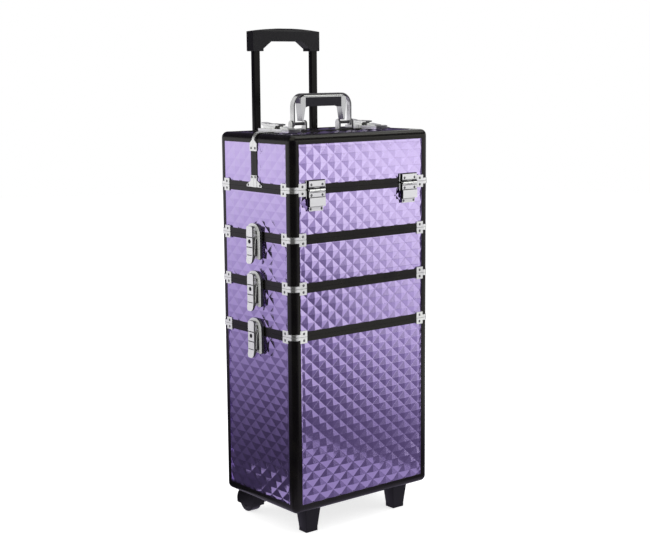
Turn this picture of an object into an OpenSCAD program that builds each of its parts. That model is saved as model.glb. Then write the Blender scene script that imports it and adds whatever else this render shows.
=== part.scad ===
// Rolling makeup case: a deep base on feet and wheels, two lift-off trays, and a
// top case whose lid is split into a front and a back half. Floor at Z = 0, the
// front wide face towards -Y, the trolley handle behind the back face.

/* [Case] */
// Outer width of the case, across the wide face
case_w = 340; // [300:1:420]
// Outer depth of the case, across the narrow face
case_d = 230; // [200:1:300]
// Height of the case's underside above the floor
ground_gap = 51; // [50:1:70]
// Height of the base box
base_h = 342; // [260:1:420]
// Height of each lift-off tray
tray_h = 91; // [80:1:140]
// Height of the top case below its lid
top_case_h = 92; // [80:1:140]
// Height of the split lid
lid_h = 101; // [80:1:140]
// Gap between one tier's rim and the next
seam_gap = 0.3; // [0.2:0.1:0.6]

/* [Frame] */
// Outer radius of the corner posts and edge trims
corner_r = 12; // [11:0.5:14]
// Width of a post or trim flange on each face
flange_w = 17.5; // [16:0.5:22]
// Height of one rim rail
rail_h = 9; // [8:0.5:12]
// Width of one centre rail along the lid's split
centre_rail_w = 9.4; // [8:0.2:11]
// How far the centre rails stand out of the frame
centre_rail_out = 1; // [0.5:0.5:3]
// Depth of the outer lip that covers a board's edge
lip_t = 3.2; // [2.8:0.1:4]
// Thickness of the inner lip
inner_lip_t = 2; // [1.5:0.1:2.5]
// Thickness of the wall, floor and top boards
board_t = 5; // [4:0.2:5.4]
// How far a board's edge sits in a rail's slot
slot_depth = 5; // [3:0.5:5]
// Width of the tongue that locates one tier on the next
tongue_t = 2; // [1:0.2:2.4]
// Height of the tongue
tongue_h = 2.5; // [1:0.1:2.5]
// Clearance round the tongue in its groove
tongue_clear = 0.4; // [0.3:0.1:0.8]

/* [Embossed skin] */
// Thickness of the sheet under the diamonds
skin_t = 0.8; // [0.5:0.1:0.9]
// Height of a diamond's point above its valleys
emboss_h = 2.1; // [0.5:0.1:2.1]
// Half the width of a diamond
half_diamond_w = 16.7; // [12:0.1:30]
// Half the height of a diamond
half_diamond_h = 15.2; // [12:0.1:30]

/* [Corner brackets] */
// Thickness of the bracket sheet
bracket_t = 1.2; // [0.8:0.1:1.6]
// Distance from the corner to the near edge of a bracket's tab
bracket_near = 15.5; // [13:0.5:18]
// Distance from the corner to the far edge of a bracket's tab
bracket_far = 32; // [24:0.5:34]
// Height of one tab, from the seam
bracket_tab_h = 12; // [9:0.5:16]
// Height of the neck that wraps the corner
bracket_neck_h = 5.5; // [4:0.5:8]
// How far the straps over the lid's edge run on to its top
strap_along = 30; // [24:1:34]
// Width of one strip of the straps over the lid's edge
strap_w = 3.4; // [2.5:0.1:6]
// Thickness of the straps and of the centre rails' feet
strap_t = 1.5; // [1:0.1:2]

/* [Latches] */
// Width of a latch's plate
latch_w = 44; // [40:1:46]
// Length of the plate below the seam
latch_plate_len = 44; // [42:1:50]
// Length of the strike plate above the seam
strike_len = 24; // [22:1:30]
// Length of the strike plates on the lid's top
top_strike_len = 50; // [40:1:56]
// Thickness of the plates
latch_plate_t = 2.5; // [2:0.1:3]
// Width of the raised rim round the plates
latch_rim_w = 8; // [6:0.5:9]
// Height of the raised rim above the seat
latch_rim_h = 6; // [4:0.5:7]
// Width of the lever
lever_w = 19; // [16:0.5:22]
// How far the lever's face stands out of the plate's seat
lever_out = 14.5; // [13.5:0.5:17]
// Thickness of the lever's face
lever_t = 3; // [2:0.2:3.5]
// How far the lever reaches past the seam
lever_reach = 19; // [14:0.5:20]
// How far the top latches reach past the lid's split
top_lever_reach = 7; // [4:0.5:7]
// Distance of the lever's pivot from the seam
pivot_drop = 33; // [30:0.5:34]
// Height of the pivot above the plate's seat
pivot_out = 6.8; // [6.6:0.1:7.2]
// Radius of the pivot pin
latch_pin_r = 2; // [1.5:0.1:2.4]
// Length of the finger tab below the lever's face
tab_len = 15.5; // [12:0.5:20]
// Thickness of the cheeks beside the lever
cheek_t = 2.4; // [1.6:0.1:3]

/* [Lid hinges] */
// Width of a hinge
hinge_w = 37; // [30:1:42]
// Height of the leaf above the seam
hinge_up = 16; // [14:0.5:20]
// Height of the leaf below the seam
hinge_down = 40; // [36:1:46]
// How far the pressed leaves stand out
leaf_out = 5; // [4:0.1:6]
// Wall thickness of the leaves
leaf_t = 1.6; // [1.2:0.1:2]
// Radius of the knuckles
knuckle_r = 3.7; // [3.4:0.1:4.2]
// Radius of the hinge pin
hinge_pin_r = 1.6; // [1.2:0.1:2]
// Distance of a hinge's centre from the narrow side
hinge_inset = 55; // [52:1:70]

/* [Carry handle] */
// Outer width of the bail
bail_w = 144; // [130:1:152]
// Height of the bail's top above the lid
bail_h = 72; // [60:1:90]
// Width of the bail's strip
bail_strip_w = 12; // [10:0.5:16]
// Thickness of the bail's strip
bail_t = 3; // [2.4:0.2:5]
// Outer radius of the bail's shoulders
bail_r = 25; // [16:1:30]
// Distance of the handle's plane behind the split
handle_behind = 10; // [8:0.5:24]
// Height of the handle's pivot above the lid
handle_pivot_h = 14; // [14:0.5:18]
// Radius of the handle's pivot pins
handle_pin_r = 3; // [2:0.1:3.5]
// Length of the black hand grip
hand_grip_len = 88; // [70:1:92]
// Height of the black hand grip
hand_grip_h = 22; // [16:1:24]
// Thickness of the ears the bail turns between
handle_ear_t = 4; // [3:0.5:5]

/* [Trolley handle] */
// Distance between the two posts, centre to centre
post_spacing = 144; // [110:1:180]
// Distance of the posts' centre behind the back face
post_behind = 12; // [12:0.5:16]
// Width of the upper tube
tube_w = 16; // [12:0.5:18]
// Depth of the upper tube
tube_d = 10; // [8:0.5:10]
// Wall of the tubes
tube_wall = 1.5; // [1:0.1:1.6]
// Sliding clearance between two stages
tube_clear = 0.5; // [0.3:0.1:0.7]
// Travel of each stage
stage_travel = 260; // [120:1:262]
// Overlap of two stages when pulled out
stage_overlap = 45; // [30:1:55]
// Height of the outer tubes' top below the base's rim
outer_tube_drop = 7; // [5:1:12]
// Height of the middle stage that shows when pulled out
middle_show = 262; // [262:1:270]
// Height of the upper stage that shows when pulled out
upper_show = 274; // [263:1:290]
// Width of the grip past the posts' centres
grip_overhang = 11; // [10:0.5:20]
// Depth of the grip
grip_d = 22.5; // [20:0.5:26]
// Height of the grip at its centre
grip_h = 45; // [40:1:60]
// Height of the finger arch under the grip
grip_arch_h = 19.5; // [10:0.5:22]
// Clear gap between the grip and the back face
grip_gap = 3.5; // [3.5:0.1:6]
// Travel of the release button
button_travel = 4; // [2:0.5:5]
// Length of the release button
button_len = 40; // [20:1:60]

/* [Feet and wheels] */
// Distance of a foot's centre from the narrow side
foot_inset_x = 58; // [54:1:70]
// Distance of a foot's centre from the front face
foot_inset_y = 36; // [36:1:50]
// Width of a foot where it meets the floor
foot_w = 28; // [20:1:34]
// Depth of a foot where it meets the floor
foot_d = 24; // [18:1:28]
// Growth of a foot on each side towards the case
foot_taper = 5; // [1:0.5:6]
// Radius of a wheel
wheel_r = 22.5; // [18:0.5:22.5]
// Width of a wheel
wheel_w = 24; // [18:1:28]
// Distance of a wheel's centre from the narrow side
wheel_inset_x = 42; // [40:1:60]
// Distance of a wheel's centre from the back face
wheel_inset_y = 24; // [24:1:50]
// Radius of an axle
axle_r = 4; // [3:0.2:5]

/* [Hidden] */
$fn = 64;
run_fit = 0.05;
fit_gap = 0.1;
side_run = 0.5;
eps = 0.01;
black = "#141416";
chrome = "#c9ccd0";
purple = "#8a74b8";
lining = "#26242b";

SIDES = [-1, 1];
z_base = ground_gap;
z_lower = z_base + base_h;
z_upper = z_lower + tray_h;
z_top_case = z_upper + tray_h;
z_lid = z_top_case + top_case_h;
z_top = z_lid + lid_h;

// Depths into the wall, from the frame's outer face
board_out = lip_t;
board_in = lip_t + board_t;
frame_in = board_in + inner_lip_t;
tongue_in = lip_t + (board_t - tongue_t) / 2;
groove_h = tongue_h + tongue_clear;
split_gap = seam_gap / 2;

hinge_x = case_w / 2 - hinge_inset;
hinge_axis_out = knuckle_r + seam_gap;
handle_outer_x = bail_w / 2 + side_run + handle_ear_t;
top_latch_x = (handle_outer_x + case_w / 2 - strap_along) / 2;

post_y = case_d / 2 + post_behind;
post_x = post_spacing / 2;
middle_tube_w = tube_w + 2 * (tube_clear + tube_wall);
middle_tube_d = tube_d + 2 * (tube_clear + tube_wall);
outer_tube_w = middle_tube_w + 2 * (tube_clear + tube_wall);
outer_tube_d = middle_tube_d + 2 * (tube_clear + tube_wall);
z_outer_top = z_lower - outer_tube_drop;
z_middle_top = z_outer_top + middle_show;
z_grip = z_middle_top + upper_show;
z_grip_top = z_grip + grip_h;
grip_y = case_d / 2 + grip_gap + grip_d / 2;

// The whole case sits so that its footprint is centred on the origin
front_reach = case_d / 2 + hinge_axis_out + knuckle_r;
back_reach = grip_y + grip_d / 2;
shift_y = (front_reach - back_reach) / 2;

// Rounded rectangle centred on the origin
module round_rect(w, d, r) {
    square([w - 2 * r, d], center = true);
    square([w, d - 2 * r], center = true);
    for (x = SIDES, y = SIDES)
        translate([x * (w / 2 - r), y * (d / 2 - r)]) circle(r);
}

// Plan of the case drawn in by a depth from its outer face
module plan(depth) {
    round_rect(case_w - 2 * depth, case_d - 2 * depth, max(corner_r - depth, 1));
}

// Ring between two depths into the wall
module ring(outer, inner) {
    difference() {
        plan(outer);
        plan(inner);
    }
}

// A box from its lower corner to its upper corner
module span(low, high) {
    translate(low) cube(high - low);
}

// The part of a child that belongs to one wall, cut at the mitres of the corners
module mitre(wall) {
    reach = 2 * corner_r + flange_w;
    gap = fit_gap / 2;
    w = wall % 2 == 0 ? case_w / 2 : case_d / 2;
    d = wall % 2 == 0 ? case_d / 2 : case_w / 2;
    intersection() {
        children();
        rotate(wall * 90)
            linear_extrude(z_grip_top)
                polygon([[-w - reach + gap, -d - reach], [w + reach - gap, -d - reach],
                         [w - reach - gap, -d + reach], [-w + reach + gap, -d + reach]]);
    }
}

// One rim rail with its board slot, standing on its seam face at z; "way" is +1 when
// the board rises from it. A tongue stands out of the seam face or a groove enters it.
module rim(z, way, tongue = false, groove = false) {
    translate([0, 0, z]) scale_z(way)
        difference() {
            union() {
                linear_extrude(rail_h) ring(0, frame_in);
                if (tongue)
                    translate([0, 0, -tongue_h])
                        linear_extrude(tongue_h + eps) ring(tongue_in, tongue_in + tongue_t);
            }
            translate([0, 0, rail_h - slot_depth])
                linear_extrude(slot_depth + eps) ring(board_out, board_in);
            if (groove)
                translate([0, 0, -eps])
                    linear_extrude(groove_h + eps)
                        ring(tongue_in - tongue_clear, tongue_in + tongue_t + tongue_clear);
        }
}

// Flips a child top to bottom when way is -1
module scale_z(way) {
    mirror([0, 0, way < 0 ? 1 : 0]) children();
}

// Section of a corner post: quarter round outside, slots for two boards
module post_section() {
    difference() {
        union() {
            intersection() {
                translate([corner_r, corner_r]) circle(corner_r);
                square(corner_r);
            }
            translate([corner_r - eps, 0]) square([flange_w - corner_r + eps, frame_in]);
            translate([0, corner_r - eps]) square([frame_in, flange_w - corner_r + eps]);
        }
        translate([frame_in, frame_in]) square(flange_w);
        translate([corner_r, board_out]) square([flange_w, board_t]);
        translate([board_out, corner_r]) square([board_t, flange_w]);
    }
}

// Post at one corner of the plan between two heights
module post(x, y, z0, z1) {
    mirror([x > 0 ? 1 : 0, 0, 0]) mirror([0, y > 0 ? 1 : 0, 0])
        translate([-case_w / 2, -case_d / 2, z0 + fit_gap])
            linear_extrude(z1 - z0 - 2 * fit_gap) post_section();
}

// Edge trim along X, with its outer corner on the line y = 0, z = 0, facing -Y and -Z
module edge_x(length) {
    translate([-length / 2 + fit_gap, 0, 0]) rotate([90, 0, 90])
        linear_extrude(length - 2 * fit_gap) post_section();
}

// Edge trim along Y between two places, with its outer corner on x = 0, z = 0, facing -X and -Z
module edge_y(y0, y1) {
    translate([0, y1 - fit_gap, 0]) rotate([90, 0, 0])
        linear_extrude(y1 - y0 - 2 * fit_gap) post_section();
}

// Ball corner where three edges meet, with its outer corner at the origin
module ball_corner() {
    difference() {
        intersection() {
            cube(flange_w);
            union() {
                translate([corner_r, corner_r, corner_r]) sphere(corner_r);
                translate([corner_r, corner_r, corner_r]) cylinder(r = corner_r, h = flange_w);
                translate([corner_r, corner_r, corner_r]) rotate([0, 90, 0])
                    cylinder(r = corner_r, h = flange_w);
                translate([corner_r, corner_r, corner_r]) rotate([-90, 0, 0])
                    cylinder(r = corner_r, h = flange_w);
                translate([corner_r, corner_r, 0]) cube(flange_w);
                translate([corner_r, 0, corner_r]) cube(flange_w);
                translate([0, corner_r, corner_r]) cube(flange_w);
            }
        }
        translate([frame_in, frame_in, frame_in]) cube(flange_w);
        translate([corner_r, corner_r, board_out]) cube([flange_w, flange_w, board_t]);
        translate([corner_r, board_out, corner_r]) cube([flange_w, board_t, flange_w]);
        translate([board_out, corner_r, corner_r]) cube([board_t, flange_w, flange_w]);
    }
}

// Chrome bracket halves that wrap the corners of one rim, growing from the seam at z
module corner_brackets(z, way, rows = SIDES) {
    for (x = SIDES, y = rows)
        translate([0, 0, z]) scale_z(way) {
            linear_extrude(bracket_neck_h) bracket_plan(x, y, 0);
            linear_extrude(bracket_tab_h) bracket_plan(x, y, bracket_near);
        }
}

// Plan of a corner bracket beyond a distance from its corner
module bracket_plan(x, y, near) {
    intersection() {
        ring(-bracket_t, 0);
        difference() {
            corner_square(x, y, bracket_far);
            if (near > 0) corner_square(x, y, near);
        }
    }
}

// Square of a given size at one corner of the plan, grown outwards past the bracket
module corner_square(x, y, size) {
    translate([x * (case_w / 2 - size / 2 + bracket_t), y * (case_d / 2 - size / 2 + bracket_t)])
        square(size + 2 * bracket_t, center = true);
}

// Wall boards of one tier between two heights
module wall_boards(z0, z1) {
    x = case_w / 2;
    y = case_d / 2;
    for (s = SIDES) {
        translate([0, s * (y - board_out - board_t / 2), (z0 + z1) / 2])
            cube([case_w - 2 * corner_r, board_t, z1 - z0], center = true);
        translate([s * (x - board_out - board_t / 2), 0, (z0 + z1) / 2])
            cube([board_t, case_d - 2 * corner_r, z1 - z0], center = true);
    }
}

// Floor board of a tray or of the top case, inside the lower rim
module tray_floor(z) {
    linear_extrude_at(z, board_t) square([case_w - 2 * frame_in, case_d - 2 * frame_in], center = true);
}

// Extrusion of a plan from a height
module linear_extrude_at(z, h) {
    translate([0, 0, z]) linear_extrude(h) children();
}

// Embossed sheet of w by h lying on z = 0, its diamonds pointing up +Z
module diamond_sheet(w, h) {
    nx = max(2, round(w / half_diamond_w));
    ny = max(2, round(h / half_diamond_h));
    columns = nx + 1;
    top = [for (j = [0:ny]) for (i = [0:nx])
        [w * (i / nx - 0.5), h * (j / ny - 0.5), skin_t + ((i + j) % 2 == 0 ? emboss_h : 0)]];
    n = len(top);
    function at(i, j) = j * columns + i;
    slopes = [for (j = [0:ny - 1]) for (i = [0:nx - 1]) for (half = [0, 1])
        (i + j) % 2 == 0
            ? (half == 0 ? [at(i, j), at(i, j + 1), at(i + 1, j)]
                         : [at(i + 1, j), at(i, j + 1), at(i + 1, j + 1)])
            : (half == 0 ? [at(i, j), at(i + 1, j + 1), at(i + 1, j)]
                         : [at(i, j), at(i, j + 1), at(i + 1, j + 1)])];
    border = concat([for (i = [0:nx - 1]) at(i, 0)], [for (j = [0:ny - 1]) at(nx, j)],
                    [for (i = [nx:-1:1]) at(i, ny)], [for (j = [ny:-1:1]) at(0, j)]);
    m = len(border);
    foot = concat([for (b = border) [top[b][0], top[b][1], 0]], [[0, 0, 0]]);
    sides = [for (k = [0:m - 1]) let (next = (k + 1) % m) [border[k], border[next], n + next, n + k]];
    under = [for (k = [0:m - 1]) [n + k, n + (k + 1) % m, n + m]];
    polyhedron(points = concat(top, foot), faces = concat(slopes, sides, under));
}

// Embossed sheet on a wide wall; side is -1 at the front and +1 at the back
module wide_skin(side, z0, z1) {
    translate([0, side * (case_d / 2 - board_out), (z0 + z1) / 2])
        rotate([90, 0, side > 0 ? 180 : 0])
            diamond_sheet(case_w - 2 * flange_w, z1 - z0);
}

// Embossed sheet on a narrow wall between two places along Y
module narrow_skin(side, y0, y1, z0, z1) {
    translate([side * (case_w / 2 - board_out), (y0 + y1) / 2, (z0 + z1) / 2])
        rotate([90, 0, side * 90])
            diamond_sheet(y1 - y0, z1 - z0);
}

// Embossed sheets on all four walls of a tier
module tier_skins(z0, z1) {
    y = case_d / 2 - flange_w;
    color(purple) for (s = SIDES) {
        wide_skin(s, z0, z1);
        narrow_skin(s, -y, y, z0, z1);
    }
}

// Frame of a tray: four posts between two mitred rims
module tray_frame(z, h, tongue) {
    color(black) {
        for (x = SIDES, y = SIDES)
            post(x, y, z + seam_gap + rail_h, z + h - rail_h);
        for (wall = [0:3]) {
            mitre(wall) rim(z + seam_gap, 1, groove = true);
            mitre(wall) rim(z + h, -1, tongue = tongue);
        }
    }
}

module tray_boards(z, h) {
    low = z + seam_gap + rail_h - slot_depth;
    color(lining) {
        wall_boards(low, z + h - rail_h + slot_depth);
        tray_floor(z + seam_gap);
    }
}

module tray_brackets(z, h) {
    color(chrome) {
        corner_brackets(z + seam_gap, 1);
        corner_brackets(z + h, -1);
    }
}

module tray_skins(z, h) {
    tier_skins(z + seam_gap + rail_h, z + h - rail_h);
}

// Base box

module base_boards() {
    color(lining) {
        wall_boards(z_base + corner_r, z_lower - rail_h + slot_depth);
        linear_extrude_at(z_base + board_out, board_t)
            square([case_w - 2 * corner_r, case_d - 2 * corner_r], center = true);
    }
}

module base_skins() {
    tier_skins(z_base + flange_w, z_lower - rail_h);
}

module base_frame() {
    color(black) {
        for (x = SIDES, y = SIDES) {
            post(x, y, z_base + flange_w, z_lower - rail_h);
            mirror([x > 0 ? 1 : 0, 0, 0]) mirror([0, y > 0 ? 1 : 0, 0])
                translate([-case_w / 2, -case_d / 2, z_base]) ball_corner();
        }
        for (s = SIDES) {
            mirror([0, s > 0 ? 1 : 0, 0])
                translate([0, -case_d / 2, z_base]) edge_x(case_w - 2 * flange_w);
            mirror([s > 0 ? 1 : 0, 0, 0])
                translate([-case_w / 2, 0, z_base])
                    edge_y(-case_d / 2 + flange_w, case_d / 2 - flange_w);
        }
        for (wall = [0:3])
            mitre(wall) rim(z_lower, -1, tongue = true);
    }
}

module base_brackets() {
    color(chrome) corner_brackets(z_lower, -1);
}

// Latches. Each is drawn lying down: X across the plate, +Y past the seam on to the
// strike, -Y down the plate, Z out of the seat.

// Outline of a plate with one rounded end, from y = 0 to y = length
module plate_outline(length, r) {
    intersection() {
        translate([0, length / 2 - r]) round_rect(latch_w, length + 2 * r, r);
        translate([-latch_w / 2, 0]) square([latch_w, length]);
    }
}

// Strike plate with its arched rim and its catch, raised on a pad beyond the pad's start
module strike(seat, pad_from, plate_len) {
    length = plate_len - seam_gap;
    arch_r = latch_w / 2 - 2;
    open_w = latch_w - 2 * latch_rim_w;
    open_r = arch_r - latch_rim_w;
    catch_w = lever_w - 2 * cheek_t;
    catch_near = 4;
    catch_len = 5;
    translate([0, seam_gap, 0]) {
        translate([0, 0, seat]) linear_extrude(latch_plate_t) plate_outline(length, arch_r);
        translate([0, 0, seat]) linear_extrude(latch_rim_h) difference() {
            plate_outline(length, arch_r);
            translate([0, length / 2 - latch_rim_w]) round_rect(open_w, length, open_r);
            translate([-open_w / 2, -1]) square([open_w, length - latch_rim_w - open_r]);
        }
    }
    if (seat > 0)
        intersection() {
            translate([0, seam_gap, 0])
                linear_extrude(seat + eps) plate_outline(length, arch_r);
            span([-latch_w, pad_from, 0], [latch_w, plate_len, seat + eps]);
        }
    span([-catch_w / 2, catch_near, seat],
         [catch_w / 2, catch_near + catch_len, seat + 2 * latch_plate_t]);
}

// Raised keeper on a top strike, in line with the lever's tip when the lid is shut
module keeper(seat) {
    keeper_w = lever_w - 2;
    near = 10;
    far = 34;
    high = 10;
    low = 7.5;
    slope = 3;
    translate([0, 0, seat]) rotate([90, 0, 90]) linear_extrude(keeper_w, center = true)
        polygon([[near, 0], [near, high], [far, low], [far + slope, 0]]);
}

// Base plate with raised rims, two cheeks and the pin riveted between them
module latch_base(seat, pad_from) {
    inner = lever_w / 2 + side_run;
    end_r = 4;
    open_w = latch_w - 2 * latch_rim_w;
    mirror([0, 1, 0]) {
        translate([0, 0, seat]) linear_extrude(latch_plate_t) plate_outline(latch_plate_len, end_r);
        translate([0, 0, seat]) linear_extrude(latch_rim_h) difference() {
            plate_outline(latch_plate_len, end_r);
            translate([-open_w / 2, -1]) square([open_w, latch_plate_len + 2]);
        }
        if (seat > 0)
            intersection() {
                linear_extrude(seat + eps) plate_outline(latch_plate_len, end_r);
                span([-latch_w, pad_from, 0], [latch_w, latch_plate_len, seat + eps]);
            }
    }
    for (s = SIDES)
        translate([s * (inner + cheek_t / 2), 0, seat]) rotate([90, 0, 90])
            linear_extrude(cheek_t, center = true) cheek_outline();
    translate([0, -pivot_drop, seat + pivot_out]) rotate([0, 90, 0])
        cylinder(r = latch_pin_r, h = 2 * inner + cheek_t, center = true);
}

// Side view of a cheek: tall round the pin, sloping down towards the seam
module cheek_outline() {
    head_r = latch_pin_r + 2.4;
    near = 3;
    nose_low = pivot_out - 1;
    nose_high = pivot_out + 2;
    translate([-pivot_drop, pivot_out]) circle(head_r);
    translate([-pivot_drop - head_r, 0]) square([2 * head_r, pivot_out]);
    polygon([[-pivot_drop, 0], [-near, 0], [-near, nose_low], [-2 * near, nose_high],
             [-pivot_drop, pivot_out + head_r]]);
}

// Lever: a face over two side walls, a rounded eye on the pin, a flared finger tab and,
// when hooked, a nose that turns in over the catch. Drawn in side view, then crossed
// with its outline from above.
module lever(seat, reach, hooked) {
    face = seat + lever_out;
    eye_r = latch_pin_r + 1.8;
    wall_t = 2;
    tip_r = 4;
    tail_r = 7;
    pivot_z = seat + pivot_out;
    tail = pivot_drop + eye_r + tab_len;
    difference() {
        intersection() {
            rotate([90, 0, 90]) linear_extrude(lever_w, center = true)
                lever_side(face, eye_r, pivot_z, reach, hooked);
            linear_extrude(z_top) union() {
                translate([-lever_w / 2, -tail + tail_r])
                    square([lever_w, tail - tail_r + reach - tip_r]);
                translate([-lever_w / 2 + tip_r, 0]) square([lever_w - 2 * tip_r, reach]);
                translate([-lever_w / 2 + tail_r, -tail]) square([lever_w - 2 * tail_r, tail]);
                for (s = SIDES) {
                    translate([s * (lever_w / 2 - tip_r), reach - tip_r]) circle(tip_r);
                    translate([s * (lever_w / 2 - tail_r), -tail + tail_r]) circle(tail_r);
                }
            }
        }
        span([-lever_w / 2 + wall_t, -pivot_drop + eye_r, seat],
             [lever_w / 2 - wall_t, -tip_r, face - lever_t]);
        translate([0, -pivot_drop, pivot_z]) rotate([0, 90, 0])
            cylinder(r = latch_pin_r + run_fit, h = lever_w + 1, center = true);
        lever_grooves(face);
        keyhole(face);
    }
}

// Side view of a lever: X runs along the lever, Y out of the seat
module lever_side(face, eye_r, pivot_z, reach, hooked) {
    wall_low = pivot_z - 2;
    knee = 5;
    knee_run = 3;
    tab_out = 2.5;
    nose_h = 3.5;
    nose_root = 4;
    nose_tip = 2.5;
    under = face - lever_t;
    heel = -pivot_drop - eye_r;
    nose = hooked
        ? [[reach - nose_root, under], [reach - nose_tip, under - nose_h], [reach, under - nose_h]]
        : [[reach, under]];
    translate([-pivot_drop, pivot_z]) circle(eye_r);
    polygon(concat(
        [[heel + 1, pivot_z], [-pivot_drop, wall_low], [-knee, wall_low], [-knee + knee_run, under]],
        nose,
        [[reach, face], [heel, face], [heel - tab_len, face + tab_out],
         [heel - tab_len, under + tab_out]]));
}

// Shallow grooves across the lever's face
module lever_grooves(face) {
    groove_w = 0.9;
    groove_deep = 0.8;
    near = -2;
    far = -21;
    for (y = [near, far])
        span([-lever_w, y - groove_w / 2, face - groove_deep], [lever_w, y + groove_w / 2, face + 1]);
}

// Keyhole: a round recess with a slot below it
module keyhole(face) {
    key_y = -10;
    key_r = 3.2;
    key_deep = 1.2;
    slot_w = 1.6;
    slot_len = 6;
    translate([0, key_y, face - key_deep / 2]) cylinder(r = key_r, h = key_deep);
    span([-slot_w / 2, key_y - slot_len / 2, face - 2 * key_deep],
         [slot_w / 2, key_y + slot_len / 2, face]);
}

// Places a lying latch piece on a narrow side at a seam's height
module on_narrow_side(side, z) {
    translate([side * case_w / 2, 0, z]) rotate([90, 0, side * 90]) children();
}

// Places a lying latch piece on the lid's top; the strike points to the front half
module on_lid_top(side) {
    translate([side * top_latch_x, 0, z_top]) rotate(180) children();
}

module side_strikes(z) {
    color(chrome) for (s = SIDES) on_narrow_side(s, z) strike(0, 0, strike_len);
}

module side_latch_bases(z) {
    color(chrome) for (s = SIDES) on_narrow_side(s, z) latch_base(0, 0);
}

module side_lever(side, z) {
    color(chrome) on_narrow_side(side, z) lever(0, lever_reach, true);
}

module top_lever(side) {
    color(chrome) on_lid_top(side) lever(centre_rail_out, top_lever_reach, false);
}

// Feet and wheels

module front_feet() {
    top = z_base + board_out;
    color(black) for (s = SIDES)
        translate([s * (case_w / 2 - foot_inset_x), -case_d / 2 + foot_inset_y, 0])
            intersection() {
                rotate([90, 0, 0]) linear_extrude(2 * foot_d, center = true) foot_outline(foot_w, top);
                rotate([90, 0, 90]) linear_extrude(2 * foot_w, center = true) foot_outline(foot_d, top);
            }
}

// Side view of a foot: a straight pad below a taper
module foot_outline(w, top) {
    pad_h = 8;
    half = w / 2;
    polygon([[-half, 0], [half, 0], [half, pad_h], [half + foot_taper, top],
             [-half - foot_taper, top], [-half, pad_h]]);
}

wheel_x = case_w / 2 - wheel_inset_x;
wheel_y = case_d / 2 - wheel_inset_y;
fender_gap = 1.5;
fender_t = 2;
housing_wall = 3;
hub_r = wheel_r * 2 / 3;
housing_in = wheel_w + 2 * side_run;
housing_w = housing_in + 2 * housing_wall;

module along_x(side) {
    translate([side * wheel_x, wheel_y, wheel_r]) rotate([0, 90, 0]) children();
}

module wheel_housings() {
    fender_r = wheel_r + fender_gap + fender_t;
    foot_len = 2 * (wheel_inset_y - flange_w - 1);
    skirt_up = 8;
    skirt_z = wheel_r - skirt_up;
    color(black) for (s = SIDES)
        difference() {
            union() {
                along_x(s) cylinder(r = fender_r, h = housing_w, center = true);
                translate([s * wheel_x, wheel_y - flange_w, (wheel_r + z_base + board_out) / 2])
                    cube([housing_w, foot_len + flange_w, z_base + board_out - wheel_r], center = true);
            }
            along_x(s) cylinder(r = wheel_r + fender_gap, h = housing_in, center = true);
            along_x(s) cylinder(r = axle_r + run_fit / 2, h = housing_w + 1, center = true);
            translate([s * wheel_x, wheel_y, skirt_z - fender_r])
                cube([housing_w + 1, 3 * fender_r, 2 * fender_r], center = true);
        }
}

module wheel_axles() {
    color(chrome) for (s = SIDES) along_x(s) cylinder(r = axle_r, h = housing_w, center = true);
}

module wheel_hub(side) {
    dish = 2;
    color(chrome) along_x(side) difference() {
        cylinder(r = hub_r, h = wheel_w, center = true);
        cylinder(r = axle_r + run_fit, h = wheel_w + 1, center = true);
        for (s = SIDES)
            translate([0, 0, s * wheel_w / 2]) difference() {
                cylinder(r = hub_r - dish, h = 2 * dish, center = true);
                cylinder(r = axle_r + 2 * dish, h = 2 * dish, center = true);
            }
    }
}

module wheel_tyre(side) {
    edge_r = 3;
    color(black) along_x(side) rotate_extrude()
        intersection() {
            translate([hub_r + run_fit, -wheel_w / 2]) square([wheel_r, wheel_w]);
            translate([wheel_r / 2, 0]) round_rect(wheel_r, wheel_w, edge_r);
        }
}

// Trolley handle

tube_r = 2;
tube_bore_r = 1;

module tube(w, d, z0, z1) {
    for (s = SIDES)
        translate([s * post_x, post_y, z0]) linear_extrude(z1 - z0) difference() {
            round_rect(w, d, tube_r);
            round_rect(w - 2 * tube_wall, d - 2 * tube_wall, tube_bore_r);
        }
}

module trolley_outer_tubes() {
    low = z_outer_top - stage_travel - stage_overlap - tube_wall;
    color(black) tube(outer_tube_w, outer_tube_d, low, z_outer_top);
}

// Space that the outer tubes take up between two heights
module tube_space(z0, z1) {
    for (s = SIDES)
        translate([s * post_x, post_y, z0]) linear_extrude(z1 - z0)
            round_rect(outer_tube_w, outer_tube_d, tube_r);
}

// Collars that hold the outer tubes on the back of the base: a cup below, a ring above
module trolley_mounts() {
    wall = 3;
    h = 24;
    low = z_outer_top - stage_travel - stage_overlap - tube_wall;
    gap = post_behind - outer_tube_d / 2;
    plate_w = post_spacing + outer_tube_w + 2 * wall;
    color(black) for (z = [low - wall, z_outer_top - h])
        difference() {
            union() {
                for (s = SIDES)
                    translate([s * post_x, post_y, z]) linear_extrude(h)
                        round_rect(outer_tube_w + 2 * wall, outer_tube_d + 2 * min(wall, gap), tube_r);
                translate([-plate_w / 2, case_d / 2, z]) cube([plate_w, gap, h]);
            }
            tube_space(low, z_outer_top + 1);
        }
}

module trolley_middle_tubes() {
    color(black) tube(middle_tube_w, middle_tube_d, z_outer_top - stage_overlap, z_middle_top);
}

// Depth of the tubes' seat in the grip's legs
grip_seat = 20;

module trolley_upper_tubes() {
    color(black) tube(tube_w, tube_d, z_middle_top - stage_overlap, z_grip + grip_seat);
}

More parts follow.
